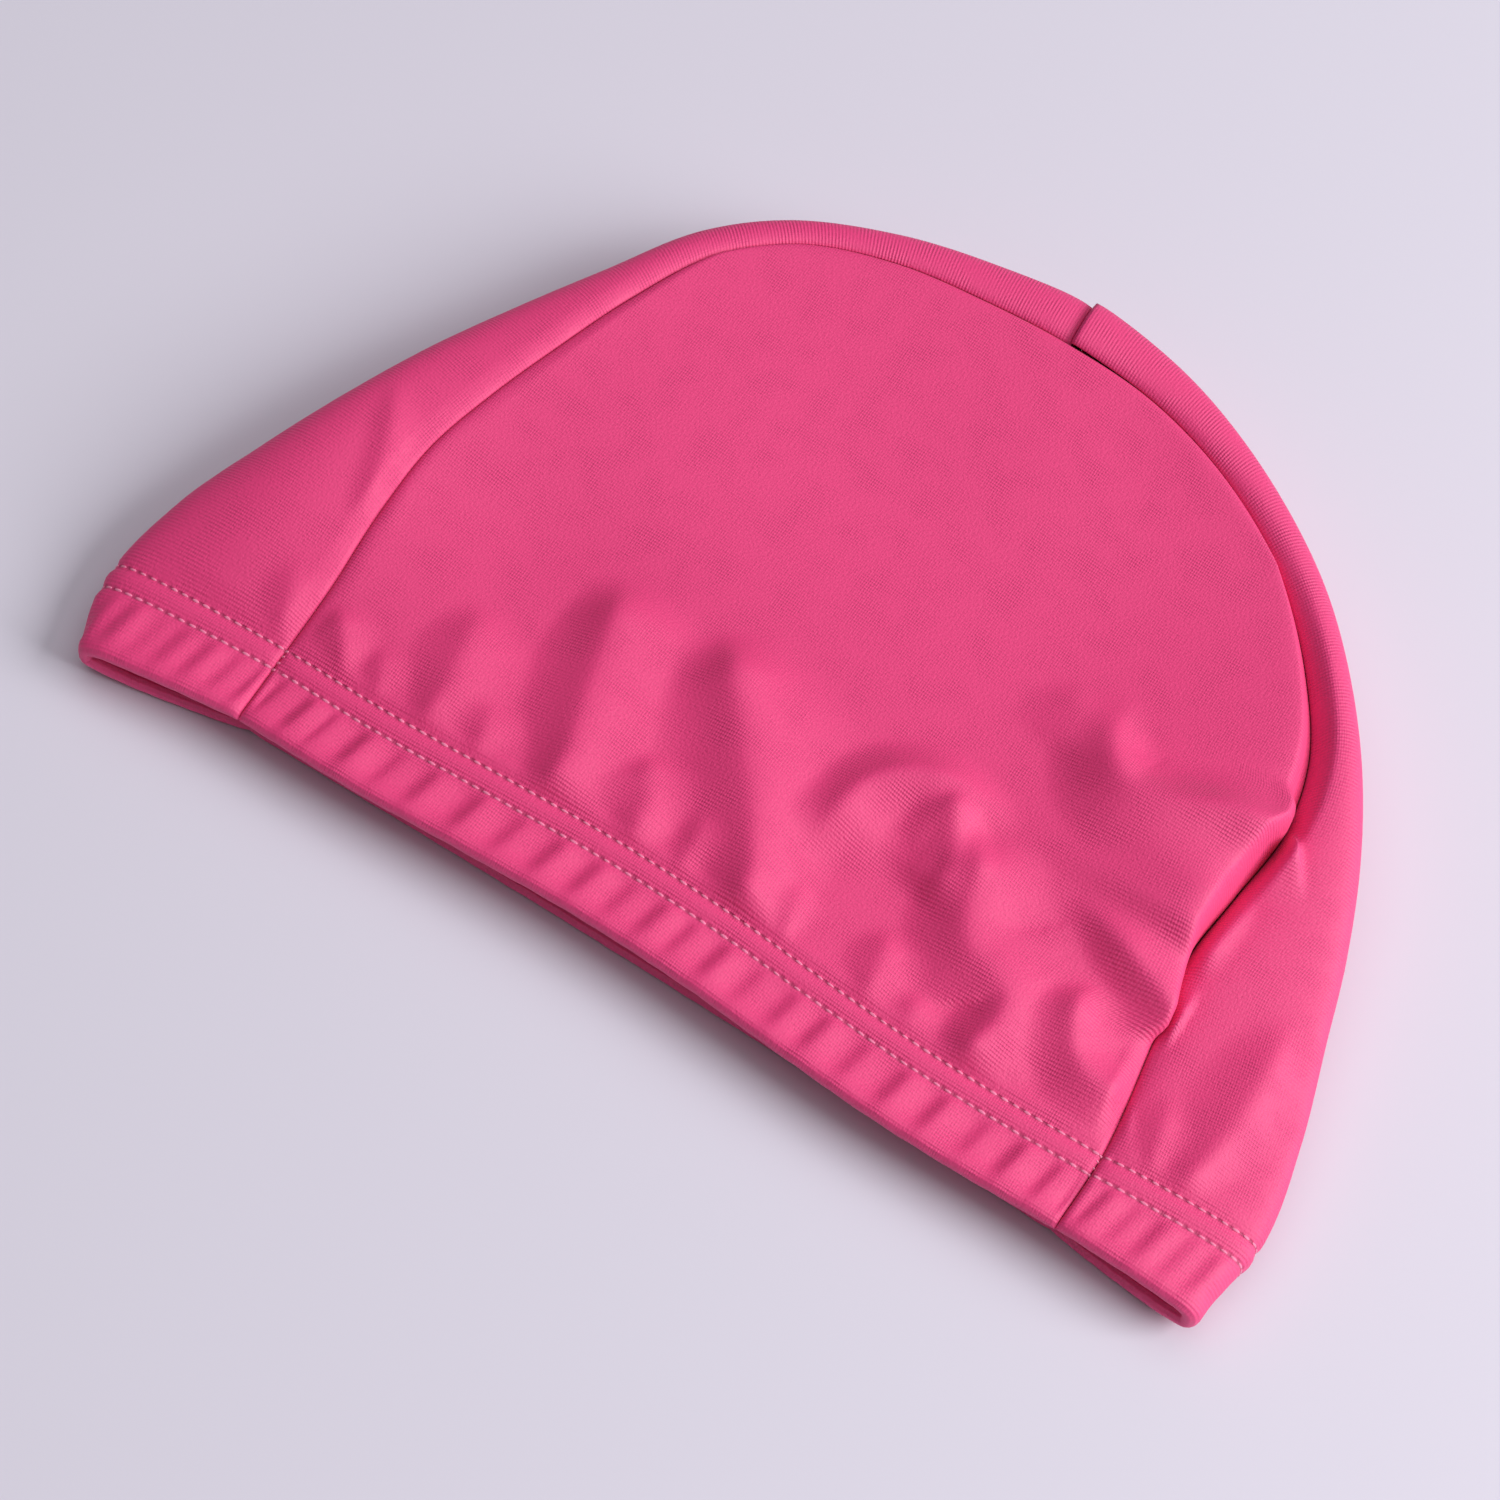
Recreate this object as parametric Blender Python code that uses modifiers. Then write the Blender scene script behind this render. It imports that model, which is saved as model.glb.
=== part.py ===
"""A fabric swim cap lying on its side, as it does when it is put down empty.

Four pieces of knitted cloth are joined edge to edge: an upper and a lower side panel, and a centre
band in two halves that runs from the hem over the crown and back to the hem. The foot of each piece
is turned up inside and stitched, which makes the casing that the elastic gathers.

X runs along the hem, Y from the hem to the crown and Z up. The origin is the middle of the cap's
box, on the surface that it lies on.
"""

import math
from collections import namedtuple

import bmesh
import bpy
import numpy as np

# Sizes of the whole cap as it lies, in metres
CAP_WIDTH = 0.232
CAP_HEIGHT = 0.1615
CAP_LOFT = 0.027

# The cloth and the seams that join it
CLOTH = 0.0012
SEAM_GAP = 0.0003
SEAM_DIP = 0.0009
CASING_SEAM_DIP = 0.0004
SEAM_ROUNDING = 0.0022

# The casing: the hem's turning, the elastic's channel and the two stitch rows
CHANNEL = 0.0008
CASING = 2 * CLOTH + CHANNEL
LOWER_STITCHES = 0.0112
UPPER_STITCHES = 0.0152
TURNING = 0.0162
STITCH_DIP = 0.0004
GATHER_PITCH = 0.0072
BAND_GATHER_PITCH = 0.0062
GATHER_DEPTH = 0.0011
HEM_TUCK = 0.0052
HEM_TUCK_REACH = 0.030
LOWER_HEM_BOW = 0.0012

# How the cloth stands between its seams
PANEL_SAG = 0.0028
FOLD_RISE = 0.0045
OVERHANG = 0.0047
OVERHANG_REACH = 0.0045
FOLD_TO_SEAM = 0.004
BACK_PROUD = 0.0013
PROUD_REACH = 0.008

# Mesh steps
STEPS_PER_GATHER = 2
FINE_ROWS = 8
COARSE_ROWS = 5
FINE_SHARE = 0.5
ROLL_STEPS = 3
SEAM_SAMPLES = 400
FOLD_POINTS = 16
CASING_MIDDLE = 0.5

# Shapes of the blends, as plain shares
HEM_GATHER = 0.7
CALM_GATHERS = 1.5
TOP_BLEND = 1.7
SAG_FULLNESS = 0.75
ROUND_HANDLE = 0.5523
OVERHANG_ENDS = 1.6

COLOURS = {
    "side_panel_upper": (0.80, 0.075, 0.225, 1.0),
    "side_panel_lower": (0.76, 0.070, 0.210, 1.0),
    "band_front": (0.81, 0.080, 0.240, 1.0),
    "band_back": (0.78, 0.075, 0.260, 1.0),
}

# Stations along the band, from the left end of the hem over the crown to the right end. x, y and z
# are shares of CAP_WIDTH, CAP_HEIGHT and CAP_LOFT. seam is the upper seam, edge the fold at the
# cap's outline, under the lower seam's distance from that fold and lift the panel's height over
# its seam.
Station = namedtuple("Station", "name seam_x seam_y seam_z edge_x edge_y edge_z under lift")
STATIONS = (
    Station("left hem", 0.157, 0.007, 0.416, 0.019, -0.016, 0.204, 0.140, 0.03),
    Station("left casing", 0.155, 0.086, 0.430, 0.000, 0.076, 0.206, 0.150, 0.03),
    Station("left low", 0.156, 0.179, 0.560, 0.009, 0.183, 0.275, 0.138, 0.03),
    Station("left middle", 0.151, 0.291, 0.650, 0.036, 0.300, 0.310, 0.118, 0.03),
    Station("left high", 0.152, 0.388, 0.710, 0.066, 0.412, 0.335, 0.102, 0.03),
    Station("left upper", 0.165, 0.482, 0.740, 0.094, 0.511, 0.352, 0.088, 0.03),
    Station("left bend", 0.184, 0.581, 0.760, 0.127, 0.606, 0.370, 0.076, 0.03),
    Station("left rise", 0.206, 0.681, 0.780, 0.166, 0.707, 0.381, 0.068, 0.03),
    Station("left shoulder", 0.239, 0.786, 0.795, 0.212, 0.823, 0.393, 0.064, 0.03),
    Station("left turn", 0.287, 0.856, 0.810, 0.266, 0.895, 0.400, 0.062, 0.03),
    Station("left crown", 0.360, 0.899, 0.815, 0.348, 0.953, 0.407, 0.062, 0.03),
    Station("near crown", 0.444, 0.915, 0.815, 0.438, 0.986, 0.407, 0.062, 0.03),
    Station("crown", 0.518, 0.918, 0.815, 0.515, 0.999, 0.407, 0.062, 0.03),
    Station("past crown", 0.597, 0.907, 0.800, 0.601, 0.980, 0.407, 0.062, 0.03),
    Station("right crown", 0.671, 0.871, 0.770, 0.681, 0.931, 0.407, 0.062, 0.04),
    Station("right shoulder", 0.754, 0.793, 0.720, 0.778, 0.835, 0.400, 0.064, 0.05),
    Station("right rise", 0.815, 0.697, 0.660, 0.842, 0.735, 0.389, 0.068, 0.07),
    Station("right bend", 0.853, 0.600, 0.610, 0.893, 0.625, 0.370, 0.078, 0.10),
    Station("right tip", 0.864, 0.513, 0.560, 0.926, 0.530, 0.360, 0.092, 0.16),
    Station("right middle", 0.848, 0.420, 0.500, 0.952, 0.428, 0.350, 0.108, 0.24),
    Station("right fold", 0.846, 0.325, 0.470, 0.970, 0.332, 0.333, 0.122, 0.24),
    Station("right low", 0.862, 0.216, 0.450, 0.991, 0.218, 0.296, 0.132, 0.08),
    Station("right casing", 0.873, 0.073, 0.416, 1.003, 0.080, 0.212, 0.134, 0.03),
    Station("right hem", 0.871, -0.013, 0.411, 0.991, -0.019, 0.204, 0.124, 0.03),
)

# The upper hem between the two seams: along runs from 0 at the left seam to 1 at the right one
Hem = namedtuple("Hem", "along y z")
UPPER_HEM = (
    Hem(0.00, 0.007, 0.416),
    Hem(0.13, 0.003, 0.434),
    Hem(0.28, 0.007, 0.444),
    Hem(0.42, 0.010, 0.446),
    Hem(0.55, 0.005, 0.442),
    Hem(0.68, -0.006, 0.430),
    Hem(0.80, -0.014, 0.420),
    Hem(0.90, -0.015, 0.413),
    Hem(1.00, -0.013, 0.411),
)

# Folds of the upper cloth. Each has a foot, a bend and a tip, as shares of CAP_WIDTH and
# CAP_HEIGHT, and steps up by twice its rise, a share of CAP_LOFT, to the right of that way. width
# is a share of CAP_WIDTH, from its middle to its crest. root is the share of its length that it
# takes to grow: 0 is a fold that starts at full height from the stitching.
Fold = namedtuple("Fold", "name foot_x foot_y bend_x bend_y tip_x tip_y width rise root")
FOLDS = (
    Fold("gather by the seam", 0.197, 0.098, 0.192, 0.135, 0.165, 0.166, 0.0080, 0.033, 0.0),
    Fold("first gather", 0.231, 0.099, 0.224, 0.123, 0.213, 0.150, 0.0080, 0.022, 0.0),
    Fold("tall gather", 0.271, 0.099, 0.264, 0.165, 0.254, 0.249, 0.0120, 0.044, 0.0),
    Fold("small gather", 0.315, 0.098, 0.315, 0.126, 0.308, 0.165, 0.0095, 0.026, 0.0),
    Fold("left pleat", 0.376, 0.100, 0.362, 0.207, 0.339, 0.334, 0.0200, 0.078, 0.0),
    Fold("leaf", 0.452, 0.101, 0.440, 0.147, 0.427, 0.192, 0.0110, 0.041, 0.0),
    Fold("notch", 0.492, 0.101, 0.493, 0.137, 0.488, 0.174, 0.0080, 0.030, 0.0),
    Fold("long pleat", 0.542, 0.098, 0.520, 0.186, 0.420, 0.326, 0.0225, 0.096, 0.0),
    Fold("arc pleat", 0.566, 0.207, 0.561, 0.275, 0.606, 0.332, 0.0110, 0.041, 0.3),
    Fold("slit", 0.584, 0.096, 0.587, 0.129, 0.589, 0.162, 0.0080, 0.026, 0.0),
    Fold("right leaf", 0.657, 0.092, 0.649, 0.119, 0.643, 0.152, 0.0100, 0.030, 0.0),
    Fold("right gather", 0.701, 0.087, 0.701, 0.114, 0.698, 0.141, 0.0095, 0.019, 0.0),
    Fold("hook", 0.735, 0.087, 0.735, 0.127, 0.750, 0.166, 0.0095, 0.030, 0.0),
    Fold("deep pleat", 0.744, 0.154, 0.661, 0.219, 0.630, 0.331, 0.0280, 0.133, 0.2),
    Fold("low drag", 0.865, 0.102, 0.811, 0.157, 0.784, 0.209, 0.0130, 0.052, 0.3),
    Fold("tuck", 0.869, 0.199, 0.828, 0.247, 0.778, 0.276, 0.0150, 0.070, 0.3),
    Fold("upper arc", 0.784, 0.409, 0.715, 0.449, 0.693, 0.514, 0.0200, 0.089, 0.3),
    Fold("upper streak", 0.656, 0.425, 0.659, 0.489, 0.653, 0.558, 0.0130, 0.033, 0.3),
    Fold("left band fold", 0.157, 0.286, 0.127, 0.364, 0.091, 0.442, 0.0110, 0.041, 0.2),
    Fold("left band drag", 0.152, 0.102, 0.124, 0.154, 0.104, 0.225, 0.0095, 0.022, 0.0),
    Fold("right band fold", 0.911, 0.100, 0.928, 0.245, 0.920, 0.389, 0.0140, 0.041, 0.0),
    Fold("right band drag", 0.890, 0.090, 0.884, 0.124, 0.877, 0.157, 0.0070, 0.022, 0.0),
    Fold("right ridge below", 0.890, 0.432, 0.903, 0.501, 0.878, 0.585, 0.0180, 0.060, 0.3),
    Fold("right ridge above", 0.892, 0.540, 0.838, 0.700, 0.711, 0.868, 0.0130, 0.048, 0.2),
)
FOLD_FADE = 0.45
FOLD_SIZE = (CAP_WIDTH, CAP_HEIGHT)

# The stretch of the right seam that the panel hangs over, as shares of CAP_HEIGHT
OVERHANG_FROM = 0.225
OVERHANG_TO = 0.540
CROSS_SEAM = "crown"
LEFT_CORNER = "left shoulder"
RIGHT_CORNER = "right shoulder"


def smooth(value):
    """From 0 to 1 without a corner, and flat outside that range."""
    value = np.clip(value, 0.0, 1.0)
    return value * value * (3.0 - 2.0 * value)


def mix(first, last, share):
    return first + (last - first) * share


class Curve:
    """A smooth curve through points, from share 0 at the first to 1 at the last."""

    def __init__(self, points, knots=None):
        self.points = np.array(points, float)
        if knots is None:
            steps = np.linalg.norm(np.diff(self.points[:, :2], axis=0), axis=1)
            knots = np.concatenate([[0.0], np.cumsum(steps)]) / steps.sum()
        self.knots = np.array(knots, float)
        self.slopes = np.gradient(self.points, self.knots, axis=0)

    def at(self, share):
        share = np.clip(np.asarray(share, float), 0.0, 1.0)
        i = np.clip(np.searchsorted(self.knots, share, side="right") - 1, 0, len(self.knots) - 2)
        step = (self.knots[i + 1] - self.knots[i])[..., None]
        t = (share - self.knots[i])[..., None] / step
        start, end = self.points[i], self.points[i + 1]
        leave, arrive = self.slopes[i] * step, self.slopes[i + 1] * step
        return (
            start * (2 * t**3 - 3 * t**2 + 1)
            + leave * (t**3 - 2 * t**2 + t)
            + end * (3 * t**2 - 2 * t**3)
            + arrive * (t**3 - t**2)
        )


def station_curve():
    """The stations in metres: upper seam, outline fold, the lower seam's inset, the panel's lift."""
    size = np.array([CAP_WIDTH, CAP_HEIGHT, CAP_LOFT])
    rows = []
    for s in STATIONS:
        seam = np.array([s.seam_x, s.seam_y, s.seam_z]) * size
        edge = np.array([s.edge_x, s.edge_y, s.edge_z]) * size
        rows.append([*seam, *edge, s.under * CAP_WIDTH, s.lift * CAP_LOFT])
    return Curve(rows)


ALONG = station_curve()
SEAM_LENGTH = float(np.linalg.norm(np.diff(ALONG.points[:, :2], axis=0), axis=1).sum())


def share_of(name):
    """The share along the band at which a station stands."""
    return ALONG.knots[[s.name for s in STATIONS].index(name)]


CORNERS = share_of(LEFT_CORNER), share_of(RIGHT_CORNER)


def sections(share):
    """Upper seam, outline fold, lower seam, outward way and panel lift at shares along the band."""
    row = ALONG.at(share)
    seam, edge = row[:, 0:3], row[:, 3:6]
    flat = (edge - seam) * [1.0, 1.0, 0.0]
    outward = flat / np.linalg.norm(flat, axis=1, keepdims=True)
    lower = edge - outward * row[:, 6:7]
    from_hem = np.minimum(share, 1.0 - share) * SEAM_LENGTH
    lower[:, 1] += HEM_TUCK * np.exp(-from_hem / HEM_TUCK_REACH)
    lower[:, 2] = 0.0
    return seam, edge, lower, outward, row[:, 7]


def share_at_height(height, corner, hem_end):
    """The share along the band where the upper seam stands this high above its end of the hem."""
    shares = np.linspace(hem_end, corner, SEAM_SAMPLES)
    rise = ALONG.at(shares)[:, 1]
    return float(np.interp(height, rise - rise[0], shares))


UPPER_HEM_LINE = Curve(
    [[h.y * CAP_HEIGHT, h.z * CAP_LOFT] for h in UPPER_HEM], [h.along for h in UPPER_HEM]
)


def hem_height(x):
    """Y of the upper hem's edge below a place at x."""
    left, right = STATIONS[0].seam_x * CAP_WIDTH, STATIONS[-1].seam_x * CAP_WIDTH
    return UPPER_HEM_LINE.at((x - left) / (right - left))[:, 0]


def fold_path(fold, count=FOLD_POINTS):
    """Points along a fold's way, which runs through its foot, bend and tip."""
    t = np.linspace(0.0, 1.0, count)[:, None]
    foot = np.multiply([fold.foot_x, fold.foot_y], FOLD_SIZE)
    bend = np.multiply([fold.bend_x, fold.bend_y], FOLD_SIZE)
    tip = np.multiply([fold.tip_x, fold.tip_y], FOLD_SIZE)
    return foot * (1 - t) * (1 - 2 * t) + bend * 4 * t * (1 - t) + tip * t * (2 * t - 1)


def nearest_on_path(points, path):
    """Share along the path, and signed distance with the path's right side positive."""
    best = np.full(len(points), np.inf)
    share, side = np.zeros(len(points)), np.zeros(len(points))
    for i, (start, end) in enumerate(zip(path, path[1:])):
        way = end - start
        t = np.clip(((points - start) @ way) / (way @ way), 0.0, 1.0)
        off = points - start - t[:, None] * way
        distance = np.linalg.norm(off, axis=1)
        nearer = distance < best
        best[nearer] = distance[nearer]
        share[nearer] = (i + t[nearer]) / (len(path) - 1)
        right = way[1] * off[:, 0] - way[0] * off[:, 1]
        side[nearer] = np.copysign(distance, right)[nearer]
    return share, side


def relief(points):
    """How far the upper cloth's folds lift it at points of the plan."""
    lift = np.zeros(len(points))
    for fold in FOLDS:
        share, side = nearest_on_path(points, fold_path(fold))
        across = side / (fold.width * CAP_WIDTH)
        grow = smooth(share / fold.root) if fold.root else 1.0
        fade = smooth((1.0 - share) / FOLD_FADE)
        lift += fold.rise * CAP_LOFT * across * np.exp((1.0 - across**2) / 2.0) * grow * fade
    above = points[:, 1] - hem_height(points[:, 0]) - UPPER_STITCHES
    return lift * smooth(above / FOLD_RISE)


# One row of a piece: its shares along the band at the left and right seams, its height from the
# stitching, 0, to the corners, 1, how deep it lies under the outer face, its share of the gathers'
# depth, and whether it has a step for each gather's crest and valley
Row = namedtuple("Row", "left right height depth gather fine")


def casing_row(height, depth, gather):
    """A row of the casing, so far above the hem's edge."""
    left = share_at_height(height, CORNERS[0], 0.0)
    right = share_at_height(height, CORNERS[1], 1.0)
    return Row(left, right, 0.0, depth, gather, True)


def upper_row(height, fine):
    """A row above the casing, at a share of the way from the turning's edge to the corners."""
    start = casing_row(TURNING + CLOTH, 0.0, 0.0)
    left = mix(start.left, CORNERS[0], height)
    right = mix(start.right, CORNERS[1], height)
    return Row(left, right, height, 0.0, 0.0, fine)


def rows_of_a_piece():
    """Rows from the turning's raw edge, round the hem and up to the crown's corners."""
    roll = CASING / 2
    middle = mix(roll, LOWER_STITCHES, CASING_MIDDLE)
    under = CASING + STITCH_DIP
    rows = [casing_row(TURNING, under, 0.0), casing_row(LOWER_STITCHES, under, 0.0)]
    rows.append(casing_row(middle, CASING, 1.0))
    for step in range(ROLL_STEPS + 1):
        turn = math.pi * step / ROLL_STEPS
        depth = roll * (1.0 + math.cos(turn))
        rows.append(casing_row(roll * (1.0 - math.sin(turn)), depth, HEM_GATHER))
    rows.append(casing_row(middle, 0.0, 1.0))
    rows.append(casing_row(LOWER_STITCHES, STITCH_DIP, 0.0))
    rows.append(casing_row(UPPER_STITCHES, STITCH_DIP, 0.0))
    rows.append(casing_row(TURNING + CLOTH, 0.0, 0.0))
    rows += [upper_row(FINE_SHARE * i / FINE_ROWS, True) for i in range(1, FINE_ROWS + 1)]
    for i in range(1, COARSE_ROWS + 1):
        rows.append(upper_row(mix(FINE_SHARE, 1.0, i / COARSE_ROWS), False))
    return rows


def gather_dip(across, count):
    """Depth of the casing's gathers, with a crest at both ends, where they die out."""
    wave = (1.0 - np.cos(2 * math.pi * count * across)) / 2.0
    return GATHER_DEPTH * wave * smooth(np.minimum(across, 1.0 - across) * count)


def seam_dip(distance, dip, row=None):
    """How far the cloth dips towards a seam: little in the casing, and not in its inner layer."""
    if row and not row.height:
        dip = CASING_SEAM_DIP * max(0.0, 1.0 - row.depth / CASING)
    return dip * np.exp(-distance / SEAM_ROUNDING)


def panel_seam(share, upper):
    """A panel's edge at shares along the band, and its lift over the seam there."""
    seam, _, lower, outward, lift = sections(share)
    edge = (seam if upper else lower) - outward * SEAM_GAP / 2
    return edge, lift if upper else np.zeros(len(share))


def overhang(y, to_seam):
    """How far the panel's cloth hangs out over the right seam."""
    middle, half = (OVERHANG_FROM + OVERHANG_TO) / 2, (OVERHANG_TO - OVERHANG_FROM) / 2
    along = smooth(OVERHANG_ENDS * (1.0 - np.abs(y / CAP_HEIGHT - middle) / half))
    across = to_seam / OVERHANG_REACH
    return OVERHANG * along * across * np.exp(1.0 - across)


def off_the_line(values):
    """How far values run off the straight line from the first to the last."""
    return values - mix(values[0], values[-1], np.linspace(0.0, 1.0, len(values)))


def panel_row(row, upper):
    """One row of a side panel, from its left seam to its right one."""
    fine = row.fine if upper else not row.height
    count = PANEL_GATHERS * (STEPS_PER_GATHER if fine else 1)
    across = np.linspace(0.0, 1.0, count + 1)
    ends, end_lift = panel_seam(np.array([row.left, row.right]), upper)
    top, top_lift = panel_seam(mix(CORNERS[0], CORNERS[1], across), upper)
    hem, _ = panel_seam(np.array([0.0, 1.0]), upper)
    line = UPPER_HEM_LINE.at(across)
    if not upper:
        line = np.outer(across * (1.0 - across), [4 * LOWER_HEM_BOW, 0.0])
    near_hem, near_top = 1.0 - smooth(row.height), row.height**TOP_BLEND
    top_x = (top[:, 0] - top[0, 0]) / (top[-1, 0] - top[0, 0])
    x = mix(ends[0, 0], ends[1, 0], mix(across, top_x, near_top))
    y = mix(ends[0, 1], ends[1, 1], across) + near_hem * off_the_line(line[:, 0])
    y += near_top * off_the_line(top[:, 1])
    z = mix(ends[0, 2] + end_lift[0], ends[1, 2] + end_lift[1], across)
    z += near_hem * off_the_line(line[:, 1]) + near_top * off_the_line(top[:, 2] + top_lift)

    to_left, to_right = across * (ends[1, 0] - ends[0, 0]), (1.0 - across) * (ends[1, 0] - ends[0, 0])
    to_top = (1.0 - row.height) * (top[:, 1] - mix(hem[0, 1], hem[1, 1], across))
    to_side = np.minimum(to_left, to_right)
    lift = np.where(to_left < to_right, end_lift[0], end_lift[1])
    lift = np.where(to_top < to_side, top_lift, lift)
    inward = row.depth + row.gather * gather_dip(across, PANEL_GATHERS)
    if upper:
        bow = (1.0 - (2.0 * across - 1.0) ** 2) ** SAG_FULLNESS
        z -= PANEL_SAG * math.sin(math.pi * row.height) ** SAG_FULLNESS * bow
        z += relief(np.stack([x, y], axis=1)) * smooth(to_side / FOLD_TO_SEAM)
        x += overhang(y, to_right)
        inward = -inward
        z -= seam_dip(np.minimum(to_side, to_top), lift, row)
    else:
        z += seam_dip(np.minimum(to_side, to_top), SEAM_DIP, row)
    z += inward
    return np.stack([x, y, z], axis=1)


def bezier(start, leave, arrive, end, steps):
    """Points at even steps along a cubic curve."""
    t = np.linspace(0.0, 1.0, 10 * steps + 1)[:, None]
    line = start * (1 - t) ** 3 + end * t**3
    line += 3 * leave * (1 - t) ** 2 * t + 3 * arrive * (1 - t) * t**2
    run = np.concatenate([[0.0], np.cumsum(np.linalg.norm(np.diff(line, axis=0), axis=1))])
    even = np.linspace(0.0, run[-1], steps + 1)
    return np.stack([np.interp(even, run, line[:, axis]) for axis in range(3)], axis=1)


def band_row(share, steps, row=None, depth=0.0):
    """One row across the band: from the upper seam round the outline fold to the lower seam."""
    seam, edge, foot, out, _ = (values[0] for values in sections(np.array([share])))
    up = np.array([0.0, 0.0, 1.0])
    top, foot = seam + out * SEAM_GAP / 2 + up * SEAM_DIP, foot + out * SEAM_GAP / 2
    high, low = top[2] - edge[2], edge[2] - foot[2]
    over = [edge[0], edge[1], top[2]] - out * (1.0 - ROUND_HANDLE) * high
    under = [edge[0], edge[1], foot[2]] - out * (1.0 - ROUND_HANDLE) * low
    above = bezier(top, over, edge + up * ROUND_HANDLE * high, edge, steps // 2)
    below = bezier(edge, edge - up * ROUND_HANDLE * low, under, foot, steps // 2)
    points = np.concatenate([above, below[1:]])
    weight = smooth((points[:, 2] - edge[2]) / high)
    to_top, to_foot = (np.linalg.norm(points - end, axis=1) for end in (points[0], points[-1]))
    points[:, 2] += relief(points[:, :2]) * weight * smooth(to_top / FOLD_TO_SEAM)
    way = np.gradient(points, axis=0)
    inward = np.outer(way[:, 2], out) - np.outer(way @ out, up)
    inward /= np.linalg.norm(inward, axis=1, keepdims=True)
    inward[0], inward[-1] = -up, up
    points[:, 2] += seam_dip(to_foot, SEAM_DIP, row) - seam_dip(to_top, SEAM_DIP, row)
    if row:
        across = np.linspace(0.0, 1.0, steps + 1)
        calm = smooth(np.abs(across - 0.5) * BAND_GATHERS / CALM_GATHERS)
        depth = (row.depth + row.gather * gather_dip(across, BAND_GATHERS) * calm)[:, None]
    points += inward * depth
    points[:, 2] = np.maximum(points[:, 2], 0.0)
    return points


def band_rows(left):
    """The rows of one half of the band, from its casing to the cross seam."""
    rows = []
    for row in rows_of_a_piece():
        steps = BAND_GATHERS * (1 if row.height else STEPS_PER_GATHER)
        rows.append(band_row(row.left if left else row.right, steps, row))
    crown = [mix(CORNERS[0], CORNERS[1], i / PANEL_GATHERS) for i in range(1, PANEL_GATHERS)]
    cross = min(crown, key=lambda share: abs(share - share_of(CROSS_SEAM)))
    side = -1 if left else 1
    shares = [s for s in crown if (s - cross) * side > 0.0]
    shares = sorted(shares, reverse=not left) + [cross + side * SEAM_GAP / 2 / SEAM_LENGTH]
    for share in shares:
        depth = seam_dip(abs(share - cross) * SEAM_LENGTH, SEAM_DIP)
        proud = 0.0 if left else BACK_PROUD * math.exp(-abs(share - cross) * SEAM_LENGTH / PROUD_REACH)
        rows.append(band_row(share, BAND_GATHERS, depth=depth - proud))
    return rows


def cloth(name, rows, flip, collection):
    """A piece of cloth lofted through rows of its outer face, with its wall towards the inside."""
    mesh = bmesh.new()
    lines = [[mesh.verts.new(point) for point in row] for row in rows]
    for near, far in zip(lines, lines[1:]):
        ratio = (len(near) - 1) // (len(far) - 1)
        for i in range(len(far) - 1):
            loop = [*near[i * ratio : (i + 1) * ratio + 1], far[i + 1], far[i]]
            mesh.faces.new(loop[::-1] if flip else loop)
    data = bpy.data.meshes.new(name)
    mesh.to_mesh(data)
    mesh.free()
    data.materials.append(cloth_material(name))
    data.shade_smooth()
    piece = bpy.data.objects.new(name, data)
    collection.objects.link(piece)
    wall = piece.modifiers.new("cloth", "SOLIDIFY")
    wall.thickness = CLOTH
    wall.offset = -1.0
    return piece


def cloth_material(name):
    material = bpy.data.materials.new(f"{name} cloth")
    material.use_nodes = True
    shader = material.node_tree.nodes["Principled BSDF"]
    shader.inputs["Base Color"].default_value = COLOURS[name]
    shader.inputs["Roughness"].default_value = 0.75
    shader.inputs["Metallic"].default_value = 0.0
    shader.inputs["Sheen Weight"].default_value = 0.25
    return material


def even_gathers(width, pitch):
    """An even number of gathers, at about this pitch, across this width of casing."""
    return 2 * max(2, round(width / pitch / 2))


def hem_width():
    """The band's width along its hem, round the outline fold."""
    seam, edge, lower, _, _ = sections(np.array([0.0]))
    return np.linalg.norm(edge - seam) + np.linalg.norm(edge - lower)


PANEL_GATHERS = even_gathers((STATIONS[-1].seam_x - STATIONS[0].seam_x) * CAP_WIDTH, GATHER_PITCH)
BAND_GATHERS = even_gathers(hem_width(), BAND_GATHER_PITCH)


def build_cap():
    for thing in list(bpy.data.objects):
        bpy.data.objects.remove(thing)
    collection = bpy.data.collections.new("swim_cap")
    bpy.context.scene.collection.children.link(collection)
    rows = rows_of_a_piece()
    pieces = {
        "side_panel_upper": ([panel_row(row, True) for row in rows], False),
        "side_panel_lower": ([panel_row(row, False) for row in rows], True),
        "band_front": (band_rows(True), True),
        "band_back": (band_rows(False), False),
    }
    points = np.concatenate([np.concatenate(rows) for rows, _ in pieces.values()])
    low, high = points.min(axis=0), points.max(axis=0)
    origin = np.array([(low[0] + high[0]) / 2, (low[1] + high[1]) / 2, low[2]])
    for name, (rows, flip) in pieces.items():
        cloth(name, [row - origin for row in rows], flip, collection)


build_cap()
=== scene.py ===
"""A pink fabric swim cap lying on its side, on a plain pale floor.

The cap is sewn from an upper and a lower side panel and a centre band in two halves. Each piece is
one wall of fine knit, with its foot turned up inside and stitched in two rows, which makes the
casing that the elastic gathers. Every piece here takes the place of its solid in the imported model.

The tables and the working coordinates are the cap's pattern: X runs along the hem from its left end,
Y from the hem to the crown and Z up from the floor. BOX_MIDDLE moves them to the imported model.
"""

import math
from collections import namedtuple

import bpy
import numpy as np
from mathutils import Matrix, Vector


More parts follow.
